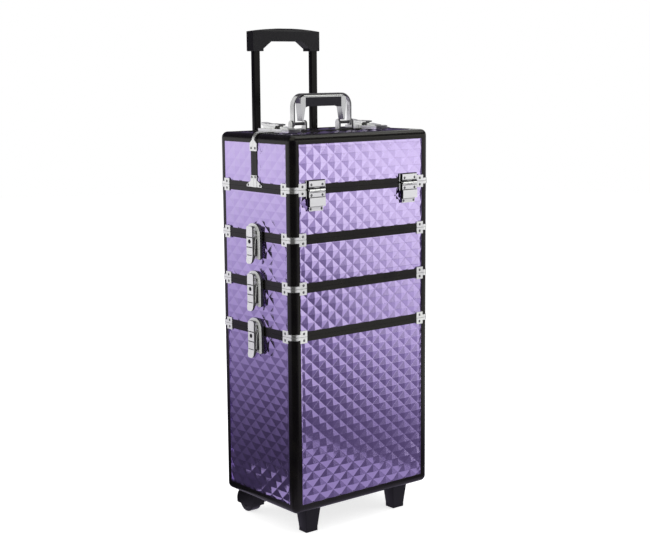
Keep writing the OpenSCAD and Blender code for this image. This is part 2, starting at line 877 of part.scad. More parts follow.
// Front view of the grip: legs on the posts, a crowned top and a sloped arch for the fingers
module grip_outline() {
    half = post_x + grip_overhang;
    leg_wall = 6;
    end_r = 2;
    leg_in = post_x - tube_w / 2 - leg_wall;
    crown = 6;
    leg_drop = 5;
    shoulder_run = 20;
    flat = leg_in - shoulder_run;
    crown_r = (half * half + crown * crown) / (2 * crown);
    difference() {
        intersection() {
            translate([0, grip_h - crown_r]) circle(crown_r, $fn = 256);
            translate([0, grip_h / 2]) round_rect(2 * half, grip_h, end_r);
        }
        polygon([[-leg_in, -1], [leg_in, -1], [leg_in, leg_drop], [flat, grip_arch_h],
                 [-flat, grip_arch_h], [-leg_in, leg_drop]]);
    }
}

button_w = 11;
button_h = 8;
button_flush = 1;
button_r = 2.5;

module trolley_grip() {
    edge_r = 7;
    color(black) difference() {
        translate([0, grip_y, z_grip]) intersection() {
            rotate([90, 0, 0]) linear_extrude(2 * grip_d, center = true) grip_outline();
            rotate([90, 0, 90]) linear_extrude(2 * post_spacing, center = true)
                translate([0, grip_h / 2]) round_rect(grip_d, grip_h + 2 * edge_r, edge_r);
            rotate([90, 0, 90]) linear_extrude(2 * post_spacing, center = true)
                translate([0, grip_h / 2 - edge_r]) round_rect(grip_d, grip_h + 2 * edge_r, edge_r);
        }
        for (s = SIDES)
            translate([s * post_x, post_y, z_grip - 1]) linear_extrude(grip_seat + 1)
                round_rect(tube_w, tube_d, tube_r);
        translate([0, grip_y, z_grip_top - button_flush - button_h - button_travel])
            linear_extrude(grip_h)
                round_rect(button_len + 2 * side_run, button_w + 2 * side_run, button_r + side_run);
    }
}

module release_button() {
    color(chrome) translate([0, grip_y, z_grip_top - button_flush - button_h + seam_gap])
        linear_extrude(button_h) round_rect(button_len, button_w, button_r);
}

// Trays

module lower_tray_boards() { tray_boards(z_lower, tray_h); }
module lower_tray_skins() { tray_skins(z_lower, tray_h); }
module lower_tray_frame() { tray_frame(z_lower, tray_h, true); }
module lower_tray_brackets() { tray_brackets(z_lower, tray_h); }
module upper_tray_boards() { tray_boards(z_upper, tray_h); }
module upper_tray_skins() { tray_skins(z_upper, tray_h); }
module upper_tray_frame() { tray_frame(z_upper, tray_h, true); }
module upper_tray_brackets() { tray_brackets(z_upper, tray_h); }
module top_case_boards() { tray_boards(z_top_case, top_case_h); }
module top_case_skins() { tray_skins(z_top_case, top_case_h); }
module top_case_frame() { tray_frame(z_top_case, top_case_h, false); }
module top_case_brackets() { tray_brackets(z_top_case, top_case_h); }

// Lid. Each half is drawn at the front and turned about Z for the back.

module half(side) {
    rotate(side > 0 ? 180 : 0) children();
}

// Keeps the part of a child in front of the split
module front_of_split() {
    intersection() {
        children();
        span([-case_w, -case_d, 0], [case_w, -split_gap, 2 * z_top]);
    }
}

// Front view of the arch that follows the lid's sides and top, grown out of the frame
module arch(out, depth) {
    difference() {
        arch_fill(out, corner_r + out);
        arch_fill(-depth, max(corner_r - depth, 1));
    }
}

// Filled front view of the lid, grown by a distance
module arch_fill(out, r) {
    top = z_top + out;
    half_w = case_w / 2 + out;
    translate([-half_w, z_lid - rail_h]) square([2 * half_w, top - z_lid + rail_h - r]);
    translate([-half_w + r, z_lid - rail_h]) square([2 * (half_w - r), top - z_lid + rail_h]);
    for (s = SIDES) translate([s * (half_w - r), top - r]) circle(r);
}

// Stretch of the arch along Y in front of the split
module arch_run(y0, y1, out, depth) {
    translate([0, y1, 0]) rotate([90, 0, 0]) linear_extrude(y1 - y0) arch(out, depth);
}

// Centre rail of one half in five lengths: two uprights, two bends and the top
module centre_rail() {
    x = case_w / 2;
    bend = flange_w;
    big = 2 * centre_rail_out;
    low = z_lid + seam_gap + rail_h + fit_gap;
    high = z_top - bend - fit_gap;
    boxes = [
        [[-x - big, -case_d, low], [0, 0, high]],
        [[0, -case_d, low], [x + big, 0, high]],
        [[-x - big, -case_d, z_top - bend], [-x + bend, 0, z_top + big]],
        [[x - bend, -case_d, z_top - bend], [x + big, 0, z_top + big]],
        [[-x + bend + fit_gap, -case_d, z_top - bend], [x - bend - fit_gap, 0, z_top + big]]
    ];
    for (box = boxes)
        intersection() {
            difference() {
                arch_run(-centre_rail_w, -split_gap, centre_rail_out, frame_in);
                translate([0, -slot_depth + eps, 0])
                    arch_slot(centre_rail_w);
            }
            span(box[0], box[1]);
        }
}

// Slot for the boards' edges in the centre rail
module arch_slot(length) {
    rotate([90, 0, 0]) linear_extrude(length) difference() {
        arch_fill(-board_out, max(corner_r - board_out, 1));
        arch_fill(-board_in, max(corner_r - board_in, 1));
    }
}

module lid_boards() {
    x = case_w / 2;
    y = case_d / 2;
    low = z_lid + seam_gap + rail_h - slot_depth;
    high = z_top - corner_r;
    color(lining) {
        span([-x + corner_r, -y + board_out, low], [x - corner_r, -y + board_in, high]);
        for (s = SIDES) mirror([s > 0 ? 1 : 0, 0, 0])
            span([-x + board_out, -y + corner_r, low], [-x + board_in, -slot_depth, high]);
        span([-x + corner_r, -y + corner_r, z_top - board_in],
             [x - corner_r, -slot_depth, z_top - board_out]);
    }
}

module lid_skins() {
    y0 = -case_d / 2 + flange_w;
    low = z_lid + seam_gap + rail_h;
    high = z_top - flange_w;
    color(purple) {
        wide_skin(-1, low, high);
        for (s = SIDES) narrow_skin(s, y0, -centre_rail_w, low, high);
        translate([0, (y0 - centre_rail_w) / 2, z_top - board_out])
            diamond_sheet(case_w - 2 * flange_w, -centre_rail_w - y0);
    }
}

module lid_frame() {
    x = case_w / 2;
    y = case_d / 2;
    color(black) {
        for (s = SIDES) {
            post(s, -1, z_lid + seam_gap + rail_h, z_top - flange_w);
            mirror([s > 0 ? 1 : 0, 0, 0]) translate([-x, 0, z_top]) mirror([0, 0, 1]) {
                translate([0, -y, 0]) ball_corner();
                edge_y(-y + flange_w, -centre_rail_w);
            }
        }
        translate([0, -y, z_top]) mirror([0, 0, 1]) edge_x(case_w - 2 * flange_w);
        for (wall = [0, 1, 3])
            front_of_split() mitre(wall) rim(z_lid + seam_gap, 1);
        centre_rail();
    }
}

// Chrome on one half: corner brackets, half of the T bracket at the foot of the centre
// rail, and the strap that bends over the top edge
module lid_brackets() {
    color(chrome) {
        corner_brackets(z_lid + seam_gap, 1, [-1]);
        for (s = SIDES) mirror([s > 0 ? 1 : 0, 0, 0]) {
            rail_foot();
            rail_strap();
        }
    }
}

// Half of the T bracket: a flared foot on the rim rail and a stem on the centre rail
module rail_foot() {
    foot_len = 24;
    foot_low = 4;
    foot_high = 13;
    stem_h = 22.5;
    x = case_w / 2;
    low = z_lid + seam_gap;
    translate([-x - strap_t, 0, low]) rotate([90, 0, 90]) linear_extrude(strap_t)
        polygon([[-split_gap, 0], [-foot_len, 0], [-foot_len, foot_low], [-centre_rail_w, foot_high],
                 [-centre_rail_w, rail_h], [-split_gap, rail_h]]);
    span([-x - centre_rail_out - strap_t, -centre_rail_w, low],
         [-x - strap_t + eps, -split_gap, low + rail_h]);
    span([-x - centre_rail_out - strap_t, -centre_rail_w, low + rail_h - eps],
         [-x - centre_rail_out, -split_gap, z_lid + stem_h]);
}

// Half of the strap: a riveted foot on the centre rail that narrows to a strip over the edge
module rail_strap() {
    strap_down = 33;
    foot_h = 15;
    neck_h = 21;
    foot_w = 11;
    x = case_w / 2;
    low = z_top - strap_down;
    intersection() {
        arch_run(-foot_w, -split_gap, centre_rail_out + strap_t, -centre_rail_out);
        span([-case_w, -case_d, low], [-x + strap_along, 0, 2 * z_top]);
        translate([-case_w, 0, low]) rotate([90, 0, 90]) linear_extrude(case_w)
            polygon([[0, 0], [-foot_w, 0], [-foot_w, foot_h], [-strap_w, neck_h],
                     [-strap_w, 2 * strap_down], [0, 2 * strap_down]]);
    }
}

// Lid hinges. Each is drawn on the front face: X along the pin, Y in, Z up from the seam.

module at_hinges() {
    for (s = SIDES)
        translate([s * hinge_x, -case_d / 2, z_lid + seam_gap / 2]) children();
}

// Pin axis of a hinge
module hinge_axis() {
    translate([0, -hinge_axis_out, 0]) rotate([0, 90, 0]) children();
}

// A pressed leaf, hollow behind, with its knuckles; third 0 is the middle one, way is +1
// above the seam
module leaf(way, height, thirds) {
    third = hinge_w / 3;
    play = 0.2;
    clear = knuckle_r + side_run;
    rise = seam_gap;
    difference() {
        scale_z(way) {
            difference() {
                span([-hinge_w / 2, -leaf_out, clear], [hinge_w / 2, 0, height]);
                span([-hinge_w / 2 + leaf_t, -leaf_out + leaf_t, clear + leaf_t],
                     [hinge_w / 2 - leaf_t, 1, height - leaf_t]);
            }
            for (t = thirds)
                translate([t * third, 0, 0])
                    span([-third / 2 + play, -leaf_out, rise], [third / 2 - play, 0, clear + eps]);
            for (t = thirds)
                translate([t * third, 0, 0]) hinge_axis()
                    cylinder(r = knuckle_r, h = third - 2 * play, center = true);
        }
        hinge_axis() cylinder(r = hinge_pin_r + run_fit, h = hinge_w + 1, center = true);
    }
}

module lid_hinge_leaves() {
    color(chrome) at_hinges() leaf(1, hinge_up, [0]);
}

// Lower leaf with the raised box of its stop and a riveted tab below it
module lower_leaf() {
    stop_top = -15;
    stop_low = -31;
    stop_out = 2 * knuckle_r;
    tab_w = hinge_w - 4;
    tab_out = 2;
    leaf(-1, -stop_low, SIDES);
    span([-hinge_w / 2, -stop_out, stop_low], [hinge_w / 2, -leaf_out + eps, stop_top]);
    span([-tab_w / 2, -tab_out, -hinge_down], [tab_w / 2, 0, stop_low + eps]);
}

module top_case_hinge_leaves() {
    color(chrome) for (s = SIDES) half(s) at_hinges() lower_leaf();
}

module hinge_pins() {
    color(chrome) for (s = SIDES) half(s) at_hinges() hinge_axis()
        cylinder(r = hinge_pin_r, h = hinge_w, center = true);
}

// Carry handle on the back half

handle_y = handle_behind;
handle_z = z_top + handle_pivot_h;
leg_x = bail_w / 2;

// Clevis brackets with their pins: a base plate, an inner and an outer ear on each side
module handle_brackets() {
    plate_t = 2;
    inner_x = hand_grip_len / 2 - handle_ear_t;
    outer_x = leg_x + side_run;
    ear_rim = 3.5;
    ear_r = handle_pin_r + ear_rim;
    seat = z_top + centre_rail_out;
    color(chrome) for (s = SIDES) mirror([s > 0 ? 1 : 0, 0, 0]) {
        span([-outer_x - handle_ear_t, handle_y - ear_r, seat],
             [-inner_x, handle_y + ear_r, seat + plate_t]);
        span([-outer_x - handle_ear_t, max(handle_y - ear_r, centre_rail_w), z_top],
             [-inner_x, handle_y + ear_r, seat + eps]);
        for (x = [-outer_x - handle_ear_t, -inner_x - handle_ear_t]) {
            translate([x, handle_y, handle_z]) rotate([0, 90, 0]) cylinder(r = ear_r, h = handle_ear_t);
            span([x, handle_y - ear_r, seat], [x + handle_ear_t, handle_y + ear_r, handle_z]);
        }
        translate([-outer_x - handle_ear_t, handle_y, handle_z]) rotate([0, 90, 0])
            cylinder(r = handle_pin_r, h = outer_x - inner_x + handle_ear_t);
    }
}

// Chrome strip bent to an arch, with an eye at the foot of each leg
module carry_bail() {
    color(chrome) translate([0, handle_y, handle_z]) difference() {
        union() {
            rotate([90, 0, 0]) linear_extrude(bail_strip_w, center = true) bail_outline();
            for (s = SIDES)
                translate([s * (leg_x - bail_t / 2), 0, 0]) rotate([0, 90, 0])
                    cylinder(r = bail_strip_w / 2, h = bail_t, center = true);
        }
        rotate([0, 90, 0]) cylinder(r = handle_pin_r + run_fit, h = bail_w + 1, center = true);
    }
}

// Front view of the bail above its pivot
module bail_outline() {
    rise = bail_h - handle_pivot_h;
    intersection() {
        difference() {
            round_rect(bail_w, 2 * rise, bail_r);
            round_rect(bail_w - 2 * bail_t, 2 * (rise - bail_t), bail_r - bail_t);
        }
        translate([-bail_w, 0]) square([2 * bail_w, 2 * rise]);
    }
}

// Black grip under the bail's top, with a tapered wing down each side
module carry_grip() {
    grip_y_w = bail_strip_w + 4;
    top = bail_h - handle_pivot_h - bail_t;
    low = top - hand_grip_h;
    half = hand_grip_len / 2;
    wing_low = handle_pin_r + 2;
    wing_out = half + 12;
    wing_top = top - 5;
    wing_mid = top - 16;
    wing_tip = half + 9;
    wing_in = half + 6;
    round_r = 4;
    right = [[half, top], [wing_out, wing_top], [wing_out + 1, wing_mid], [wing_tip, wing_low],
             [wing_in, wing_low], [half + 1, low - 2], [half - 5, low]];
    color(black) translate([0, handle_y, handle_z]) intersection() {
        rotate([90, 0, 0]) linear_extrude(2 * grip_y_w, center = true)
            polygon(concat(right, [for (i = [len(right) - 1:-1:0]) [-right[i][0], right[i][1]]]));
        rotate([90, 0, 90]) linear_extrude(2 * bail_w, center = true)
            translate([0, top - bail_h]) round_rect(grip_y_w, 2 * bail_h, round_r);
    }
}

// The same fittings under the names of the tier that carries them

module base_latch_bases() { side_latch_bases(z_lower); }
module lower_tray_strikes() { side_strikes(z_lower); }
module lower_tray_latch_bases() { side_latch_bases(z_upper); }
module upper_tray_strikes() { side_strikes(z_upper); }
module upper_tray_latch_bases() { side_latch_bases(z_top_case); }
module top_case_strikes() { side_strikes(z_top_case); }

module front_lid_strikes() {
    color(chrome) for (s = SIDES) on_lid_top(s) {
        strike(centre_rail_out, centre_rail_w, top_strike_len);
        keeper(centre_rail_out);
    }
}

module back_lid_latch_bases() {
    color(chrome) for (s = SIDES) on_lid_top(s) latch_base(centre_rail_out, centre_rail_w);
}

// Moves the case so that its footprint is centred on the origin
module place() {
    translate([0, shift_y, 0]) children();
}

place() base_boards();
place() base_skins();
place() base_frame();
place() base_brackets();
place() base_latch_bases();
place() front_feet();
place() wheel_housings();
place() wheel_axles();
place() trolley_outer_tubes();
place() trolley_mounts();
place() wheel_hub(-1);  // left_wheel_hub
place() wheel_tyre(-1);  // left_wheel_tyre
place() wheel_hub(1);  // right_wheel_hub
place() wheel_tyre(1);  // right_wheel_tyre
place() trolley_middle_tubes();
place() trolley_upper_tubes();
place() trolley_grip();
place() release_button();
place() lower_tray_boards();
place() lower_tray_skins();
place() lower_tray_frame();
place() lower_tray_brackets();
place() lower_tray_strikes();
place() lower_tray_latch_bases();
place() upper_tray_boards();
place() upper_tray_skins();
place() upper_tray_frame();
place() upper_tray_brackets();
place() upper_tray_strikes();
place() upper_tray_latch_bases();
place() top_case_boards();
place() top_case_skins();
place() top_case_frame();
place() top_case_brackets();
place() top_case_strikes();
place() top_case_hinge_leaves();
place() hinge_pins();
place() lid_boards();  // front_lid_boards
place() lid_skins();  // front_lid_skins
place() lid_frame();  // front_lid_frame
place() lid_brackets();  // front_lid_brackets
place() lid_hinge_leaves();  // front_lid_hinge_leaves
place() front_lid_strikes();
place() half(1) lid_boards();  // back_lid_boards
place() half(1) lid_skins();  // back_lid_skins
place() half(1) lid_frame();  // back_lid_frame
place() half(1) lid_brackets();  // back_lid_brackets
place() half(1) lid_hinge_leaves();  // back_lid_hinge_leaves
place() back_lid_latch_bases();
place() handle_brackets();
place() carry_bail();
place() carry_grip();
place() side_lever(-1, z_lower);  // base_left_lever
place() side_lever(1, z_lower);  // base_right_lever
place() side_lever(-1, z_upper);  // lower_tray_left_lever
place() side_lever(1, z_upper);  // lower_tray_right_lever
place() side_lever(-1, z_top_case);  // upper_tray_left_lever
place() side_lever(1, z_top_case);  // upper_tray_right_lever
place() top_lever(-1);  // top_left_lever
place() top_lever(1);  // top_right_lever
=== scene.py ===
# %% [markdown]
# # A rolling makeup case, dressed for the studio
# The case is a tall stack: a deep base on feet and wheels, two lift-off trays, and a top case
# under a split lid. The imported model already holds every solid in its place, in metres. This
# lesson gives the solids their finishes and adds what a solid model leaves out: the pressed
# diamond film, the rivets and the lock cores.

# %% Load the frame
import math
import bmesh
import bpy
from mathutils import Matrix, Vector


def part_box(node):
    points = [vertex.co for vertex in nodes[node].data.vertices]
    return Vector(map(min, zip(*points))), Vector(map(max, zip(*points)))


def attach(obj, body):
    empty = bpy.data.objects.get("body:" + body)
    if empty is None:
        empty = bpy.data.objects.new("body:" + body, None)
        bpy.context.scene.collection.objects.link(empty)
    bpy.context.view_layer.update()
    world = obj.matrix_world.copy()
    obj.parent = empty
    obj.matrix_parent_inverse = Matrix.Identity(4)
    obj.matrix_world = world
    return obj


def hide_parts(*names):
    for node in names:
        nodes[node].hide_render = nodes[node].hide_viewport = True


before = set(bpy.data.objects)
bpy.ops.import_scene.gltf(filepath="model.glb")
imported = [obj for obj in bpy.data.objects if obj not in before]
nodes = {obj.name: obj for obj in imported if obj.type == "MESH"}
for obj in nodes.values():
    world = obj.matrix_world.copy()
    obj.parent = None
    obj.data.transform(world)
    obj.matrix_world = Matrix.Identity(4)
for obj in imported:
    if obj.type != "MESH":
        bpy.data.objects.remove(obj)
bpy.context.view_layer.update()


# %% Meshes and objects
def to_mesh(name, bm):
    """Makes a mesh of a finished bmesh and frees the bmesh."""
    mesh = bpy.data.meshes.new(name)
    bm.to_mesh(mesh)
    bm.free()
    return mesh


def add_object(name, data):
    """Puts data into the scene as a new object."""
    made = bpy.data.objects.new(name, data)
    bpy.context.scene.collection.objects.link(made)
    return made


# %% [markdown]
# ## The camera
# The camera comes first, because every later choice is judged through it. The photograph was
# taken from the front left with a long lens, a little above the lid and looking slightly down.
# A camera matrix is easiest to build from three directions: right, up and back.

# %% Camera
YAW, PITCH, ROLL = math.radians(51.4039), math.radians(8.9401), math.radians(-0.4916)
CAMERA_AT = (-1.60923, -2.02257, 0.88600)
FOCAL_MM, SENSOR_MM = 72.685, 36.0
forward = Vector((math.cos(PITCH) * math.cos(YAW), math.cos(PITCH) * math.sin(YAW), -math.sin(PITCH)))
level = Vector((math.sin(YAW), -math.cos(YAW), 0.0))
right = level * math.cos(ROLL) + level.cross(forward) * math.sin(ROLL)
up = right.cross(forward)

lens = bpy.data.cameras.new("camera")
lens.sensor_fit = "HORIZONTAL"
lens.sensor_width = SENSOR_MM
lens.lens = FOCAL_MM
camera = add_object("camera", lens)
facing = Matrix((right, up, -forward)).transposed().to_4x4()
camera.matrix_world = Matrix.Translation(CAMERA_AT) @ facing
bpy.context.scene.camera = camera
bpy.context.scene.view_settings.view_transform = "Standard"
print("camera up", [round(v, 3) for v in up])

# %% [markdown]
# ## Writing shaders as sums
# A node tree is hard to read when every link is a line of code. This small class wraps one
# socket, so that a sum such as 1 - mask adds its own Math node. Every other kind of node comes
# from one method: its type, then its settings, then what its sockets hold.

# %% A socket that can be added up
NOISE_ROUGHNESS = 0.55


class Wire:
    def __init__(self, tree, socket=None):
        self.tree = tree
        self.socket = socket

    def node(self, kind, settings, sockets, out=0):
        made = self.tree.nodes.new(kind)
        for name, value in settings.items():
            if name == "stops":
                ramp = made.color_ramp.elements
                for stop, (place, colour) in zip(ramp, (value[0], value[-1])):
                    stop.position, stop.color = place, colour
                for place, colour in value[1:-1]:
                    ramp.new(place).color = colour
            else:
                setattr(made, name, value)
        for key, value in sockets.items():
            if isinstance(value, Wire):
                self.tree.links.new(value.socket, made.inputs[key])
            else:
                made.inputs[key].default_value = value
        return Wire(self.tree, made.outputs[out])

    def math(self, operation, first, second=0.0, clamp=False):
        return self.node("ShaderNodeMath", {"operation": operation, "use_clamp": clamp},
                         {0: first, 1: second})

    def __add__(self, other):
        return self.math("ADD", self, other)

    def __radd__(self, other):
        return self.math("ADD", other, self)

    def __sub__(self, other):
        return self.math("SUBTRACT", self, other)

    def __rsub__(self, other):
        return self.math("SUBTRACT", other, self)

    def __mul__(self, other):
        return self.math("MULTIPLY", self, other)

    def __rmul__(self, other):
        return self.math("MULTIPLY", other, self)

    def above(self, edge, soft):
        return self.math("MULTIPLY", self - (edge - soft / 2), 1.0 / soft, clamp=True)

    def noise(self, scale, detail=3.0):
        sockets = {"Vector": self, "Scale": scale, "Detail": detail, "Roughness": NOISE_ROUGHNESS}
        return self.node("ShaderNodeTexNoise", {}, sockets, "Fac")

    def pebbles(self, scale):
        return self.node("ShaderNodeTexVoronoi", {"feature": "SMOOTH_F1"},
                         {"Vector": self, "Scale": scale}, "Distance")

    def ribs(self, direction, scale):
        return self.node("ShaderNodeTexWave", {"bands_direction": direction},
                         {"Vector": self, "Scale": scale}, "Fac")

    def part(self, axis):
        return self.node("ShaderNodeSeparateXYZ", {}, {"Vector": self}, axis)

    def blend(self, low, high):
        return self.node("ShaderNodeMix", {"data_type": "RGBA"}, {0: self, 6: low, 7: high}, 2)

    def bump(self, strength, distance):
        return self.node("ShaderNodeBump", {},
                         {"Height": self, "Strength": strength, "Distance": distance}, "Normal")


def new_finish(name, **constants):
    """A material, its Object coordinates and its surface node with fixed values set on it."""
    material = bpy.data.materials.new(name)
    material.use_nodes = True
    tree = material.node_tree
    surface = tree.nodes["Principled BSDF"]
    for socket, value in constants.items():
        surface.inputs[socket.replace("_", " ")].default_value = value
    place = Wire(tree).node("ShaderNodeTexCoord", {}, {}, "Object")
    return material, place, surface


def feed(surface, **wires):
    """Links wires to the surface's sockets by name."""
    for socket, wire in wires.items():
        wire.tree.links.new(wire.socket, surface.inputs[socket.replace("_", " ")])


# %% [markdown]
# ## The purple film
# The panels are covered with a thin pressed foil: a purple metal layer under clear plastic.
# Each facet mirrors one patch of the studio, which is why neighbours differ so much. So the
# finish is a metal with a low roughness and a clear coat, and the shape makes the pattern. A
# faint cloudiness keeps the facets from looking like computer mirrors.

# %% Purple film
film, place, surface = new_finish("purple_film", Metallic=1.0, Coat_Weight=0.6, Coat_Roughness=0.12)
cloud = place.noise(9.0, 3.0)
grain = place.noise(900.0, 2.0)
feed(surface,
     Base_Color=cloud.above(0.5, 0.5).blend((0.63, 0.515, 0.86, 1), (0.67, 0.55, 0.90, 1)),
     Roughness=0.07 + 0.05 * cloud + 0.04 * grain,
     Normal=(grain + 2.0 * place.noise(160.0, 2.0)).bump(0.12, 0.0002))
print("film nodes", len(film.node_tree.nodes))

# %% [markdown]
# ## Black metal, chrome and plastic
# The corner posts and rails are extruded aluminium with a black coat, so they are smooth with a
# faint grain along them. The fittings are pressed steel with bright chrome, which shows its age
# as fine scratches and cloudy patches. Grips and feet are moulded plastic with a pebbled skin.

# %% Black anodised metal
WARM_GLOSS = (1.0, 0.98, 0.88, 1)


def black_metal(name, dark, light, rough, along, gloss):
    """Coated aluminium: fine draw lines along one axis and faint handling marks."""
    material, place, surface = new_finish(name, Specular_IOR_Level=gloss, Specular_Tint=WARM_GLOSS)
    lines = place.node("ShaderNodeMapping", {}, {"Vector": place, "Scale": along}).noise(1.0, 2.0)
    marks = place.noise(35.0, 4.0)
    feed(surface,
         Base_Color=marks.above(0.55, 0.4).blend((*dark, 1), (*light, 1)),
         Roughness=rough + 0.12 * marks + 0.05 * lines,
         Normal=lines.bump(0.05, 0.0002))
    return material


frame_black = black_metal(
    "frame_black", (0.0015, 0.0015, 0.0004), (0.005, 0.005, 0.002), 0.17, (60, 60, 900), 0.4)
tube_black = black_metal(
    "tube_black", (0.002, 0.002, 0.002), (0.005, 0.005, 0.005), 0.24, (900, 900, 12), 0.2)

# %% Chrome and steel
PLATING = 0.35
BRIGHT_CHROME = (0.94, 0.95, 0.92)
HAIR_TURN, HAIR_SCALE = (0.4, 0.7, 0.3), (40, 900, 900)


def plated_steel(name, bright, dull, rough):
    """Polished plating with cloudy patches and hairline scratches."""
    material, place, surface = new_finish(name, Metallic=PLATING)
    patches = place.noise(60.0, 4.0)
    turned = place.node("ShaderNodeMapping", {},
                        {"Vector": place, "Rotation": HAIR_TURN, "Scale": HAIR_SCALE})
    hairs = turned.noise(1.0, 2.0)
    feed(surface,
         Base_Color=patches.above(0.55, 0.5).blend((*bright, 1), (*dull, 1)),
         Roughness=rough + 0.10 * patches.above(0.5, 0.4) + 0.06 * hairs.above(0.6, 0.2),
         Normal=hairs.bump(0.04, 0.0002))
    return material


def pressed_chrome(name, axes, side, edge=0.62):
    """Plated pressings: bright where the face looks along one of the axes, with the other walls painted
    dark as shade.
    """
    material, place, surface = new_finish(name, Metallic=PLATING)
    normal = place.node("ShaderNodeTexCoord", {}, {}, "Normal")
    along = 0.0
    for axis in axes:
        along = place.math("MAXIMUM", along, place.math("ABSOLUTE", normal.part(axis)))
    face = along.above(edge, 0.1)
    patches = place.noise(60.0, 4.0)
    feed(surface,
         # side is a painted shade colour for the walls that do not look along the axes
         Base_Color=face.blend((*side, 1), (*BRIGHT_CHROME, 1)),
         Roughness=0.12 + 0.12 * patches.above(0.5, 0.4) + 0.12 * (1 - face),
         Normal=place.noise(700.0, 2.0).bump(0.04, 0.0002))
    return material


# The side colours are painted shade on the walls of each fitting; the brackets' rounded corners take a
# painted dark reflection.
hinge_chrome = pressed_chrome("hinge_chrome", (1,), (0.012, 0.011, 0.012))
latch_chrome = pressed_chrome("latch_chrome", (0,), (0.06, 0.06, 0.06))
lever_chrome = pressed_chrome("lever_chrome", (0,), (0.09, 0.09, 0.09))
bail_chrome = pressed_chrome("bail_chrome", (0,), (0.08, 0.08, 0.08))
top_chrome = pressed_chrome("top_chrome", (0, 2), (0.09, 0.09, 0.09))
bracket_chrome = pressed_chrome("bracket_chrome", (0, 1, 2), (0.16, 0.16, 0.15), 0.9)
chrome = plated_steel("chrome_plate", BRIGHT_CHROME, (0.84, 0.85, 0.82), 0.10)
rivet_steel = plated_steel("rivet_steel", (0.26, 0.26, 0.26), (0.16, 0.16, 0.16), 0.22)

# %% Moulded plastic and rubber
def moulded(name, dark, light, rough, pebble, depth):
    """Moulded plastic with a pebbled skin and slightly polished high spots."""
    material, place, surface = new_finish(name, Specular_IOR_Level=0.35)
    skin = place.pebbles(pebble)
    worn = place.noise(40.0, 3.0)
    feed(surface,
         Base_Color=worn.above(0.5, 0.5).blend((*dark, 1), (*light, 1)),
         Roughness=rough + 0.15 * worn,
         Normal=skin.bump(depth, 0.0003))
    return material


grip_plastic = moulded("grip_plastic", (0.006, 0.006, 0.006), (0.010, 0.010, 0.010), 0.42, 900.0, 0.25)
foot_plastic = moulded("foot_plastic", (0.003, 0.003, 0.003), (0.006, 0.006, 0.005), 0.38, 700.0, 0.15)
tyre_rubber = moulded("tyre_rubber", (0.006, 0.006, 0.006), (0.012, 0.012, 0.012), 0.24, 500.0, 0.08)
hub_plastic = moulded("hub_plastic", (0.03, 0.03, 0.032), (0.045, 0.045, 0.047), 0.38, 800.0, 0.12)
button_plastic = moulded("button_plastic", (0.03, 0.03, 0.03), (0.05, 0.05, 0.05), 0.25, 900.0, 0.08)

# %% [markdown]
# The carry grip is black, with bright plated wings at both ends and along its top. One finish
# turns from plastic to metal where the wings begin.

# %% Carry grip
WING_X, WING_Z, WING_EDGE = 0.0445, 0.8325, 0.0004
carry_black, place, surface = new_finish("carry_grip_finish", Specular_IOR_Level=0.35)
across = place.math("ABSOLUTE", place.part(0))
height = place.part(2)
wing = place.math("MAXIMUM", across.above(WING_X, WING_EDGE), height.above(WING_Z, WING_EDGE))
pebble = place.pebbles(700.0)
feed(surface,
     Base_Color=wing.blend((0.012, 0.012, 0.016, 1), (0.63, 0.645, 0.61, 1)),
     Metallic=wing,
     Roughness=0.42 - 0.24 * wing + 0.1 * place.noise(60.0),
     Normal=(pebble * (1 - wing)).bump(0.2, 0.0003))

# %% [markdown]
# ## Lined board
# Inside, the boards carry a black woven lining. Two waves that cross make the weave, and a soft
# noise gives it the uneven nap of cloth. The lock cores take a plain dark finish, and so do the
# dark rings under the rivets and the dark bars in the folds, which are painted shade.

# %% Lining and lock core
WEAVE = 420.0
lining, place, surface = new_finish("board_lining", Specular_IOR_Level=0.2, Sheen_Weight=0.4)
warp = place.ribs("DIAGONAL", WEAVE)
weft = place.ribs("Z", WEAVE)
nap = place.noise(70.0, 4.0)
feed(surface,
     Base_Color=(0.5 * warp + 0.5 * nap).blend((0.010, 0.009, 0.012, 1), (0.040, 0.037, 0.046, 1)),
     Roughness=0.75 + 0.2 * nap,
     Normal=(warp + weft).bump(0.3, 0.0003))

# also the finish of the painted shade pieces: rivet rings and fold bars
lock_core_and_painted_shade, place, surface = new_finish("lock_core_and_painted_shade", Specular_IOR_Level=0.3)
feed(surface,
     Base_Color=place.noise(300.0).blend((0.004, 0.004, 0.004, 1), (0.02, 0.02, 0.02, 1)),
     Roughness=0.45 + 0.2 * place.noise(500.0))

# %% [markdown]
# ## Dressing the solids
# Each solid keeps its shape and takes its finish by the role its name ends with; the first row
# that fits counts. Pressed and cut metal never has knife edges, so the fittings also get a live
# bevel: their loose triangles are welded, flat faces are joined again, and the sharp edges are
# rounded by about a millimetre or less, where the light then draws a line.

# %% Finishes by name
FINISH_BY_END = (
    ("_boards", lining), ("_frame", frame_black), ("_skins", film),
    ("handle_brackets", latch_chrome), ("_brackets", bracket_chrome),
    ("back_lid_latch_bases", top_chrome), ("front_lid_strikes", top_chrome),
    ("top_left_lever", top_chrome), ("top_right_lever", top_chrome),
    ("_latch_bases", latch_chrome), ("_strikes", latch_chrome), ("_lever", lever_chrome),
    ("_hinge_leaves", hinge_chrome), ("hinge_pins", chrome), ("_hub", hub_plastic), ("_tyre", tyre_rubber),
    ("front_feet", foot_plastic), ("wheel_housings", foot_plastic), ("wheel_axles", foot_plastic),
    ("trolley_mounts", foot_plastic), ("_tubes", tube_black), ("trolley_grip", grip_plastic),
    ("release_button", button_plastic), ("carry_bail", bail_chrome), ("carry_grip", carry_black),
)
for name, node in nodes.items():
    finish = next(f for end, f in FINISH_BY_END if name.endswith(end))
    node.data.materials.clear()
    node.data.materials.append(finish)


# %% Rounded edges
WELD_WITHIN = 0.000005
FLAT_BELOW, SHARP_ABOVE = math.radians(0.5), math.radians(35.0)


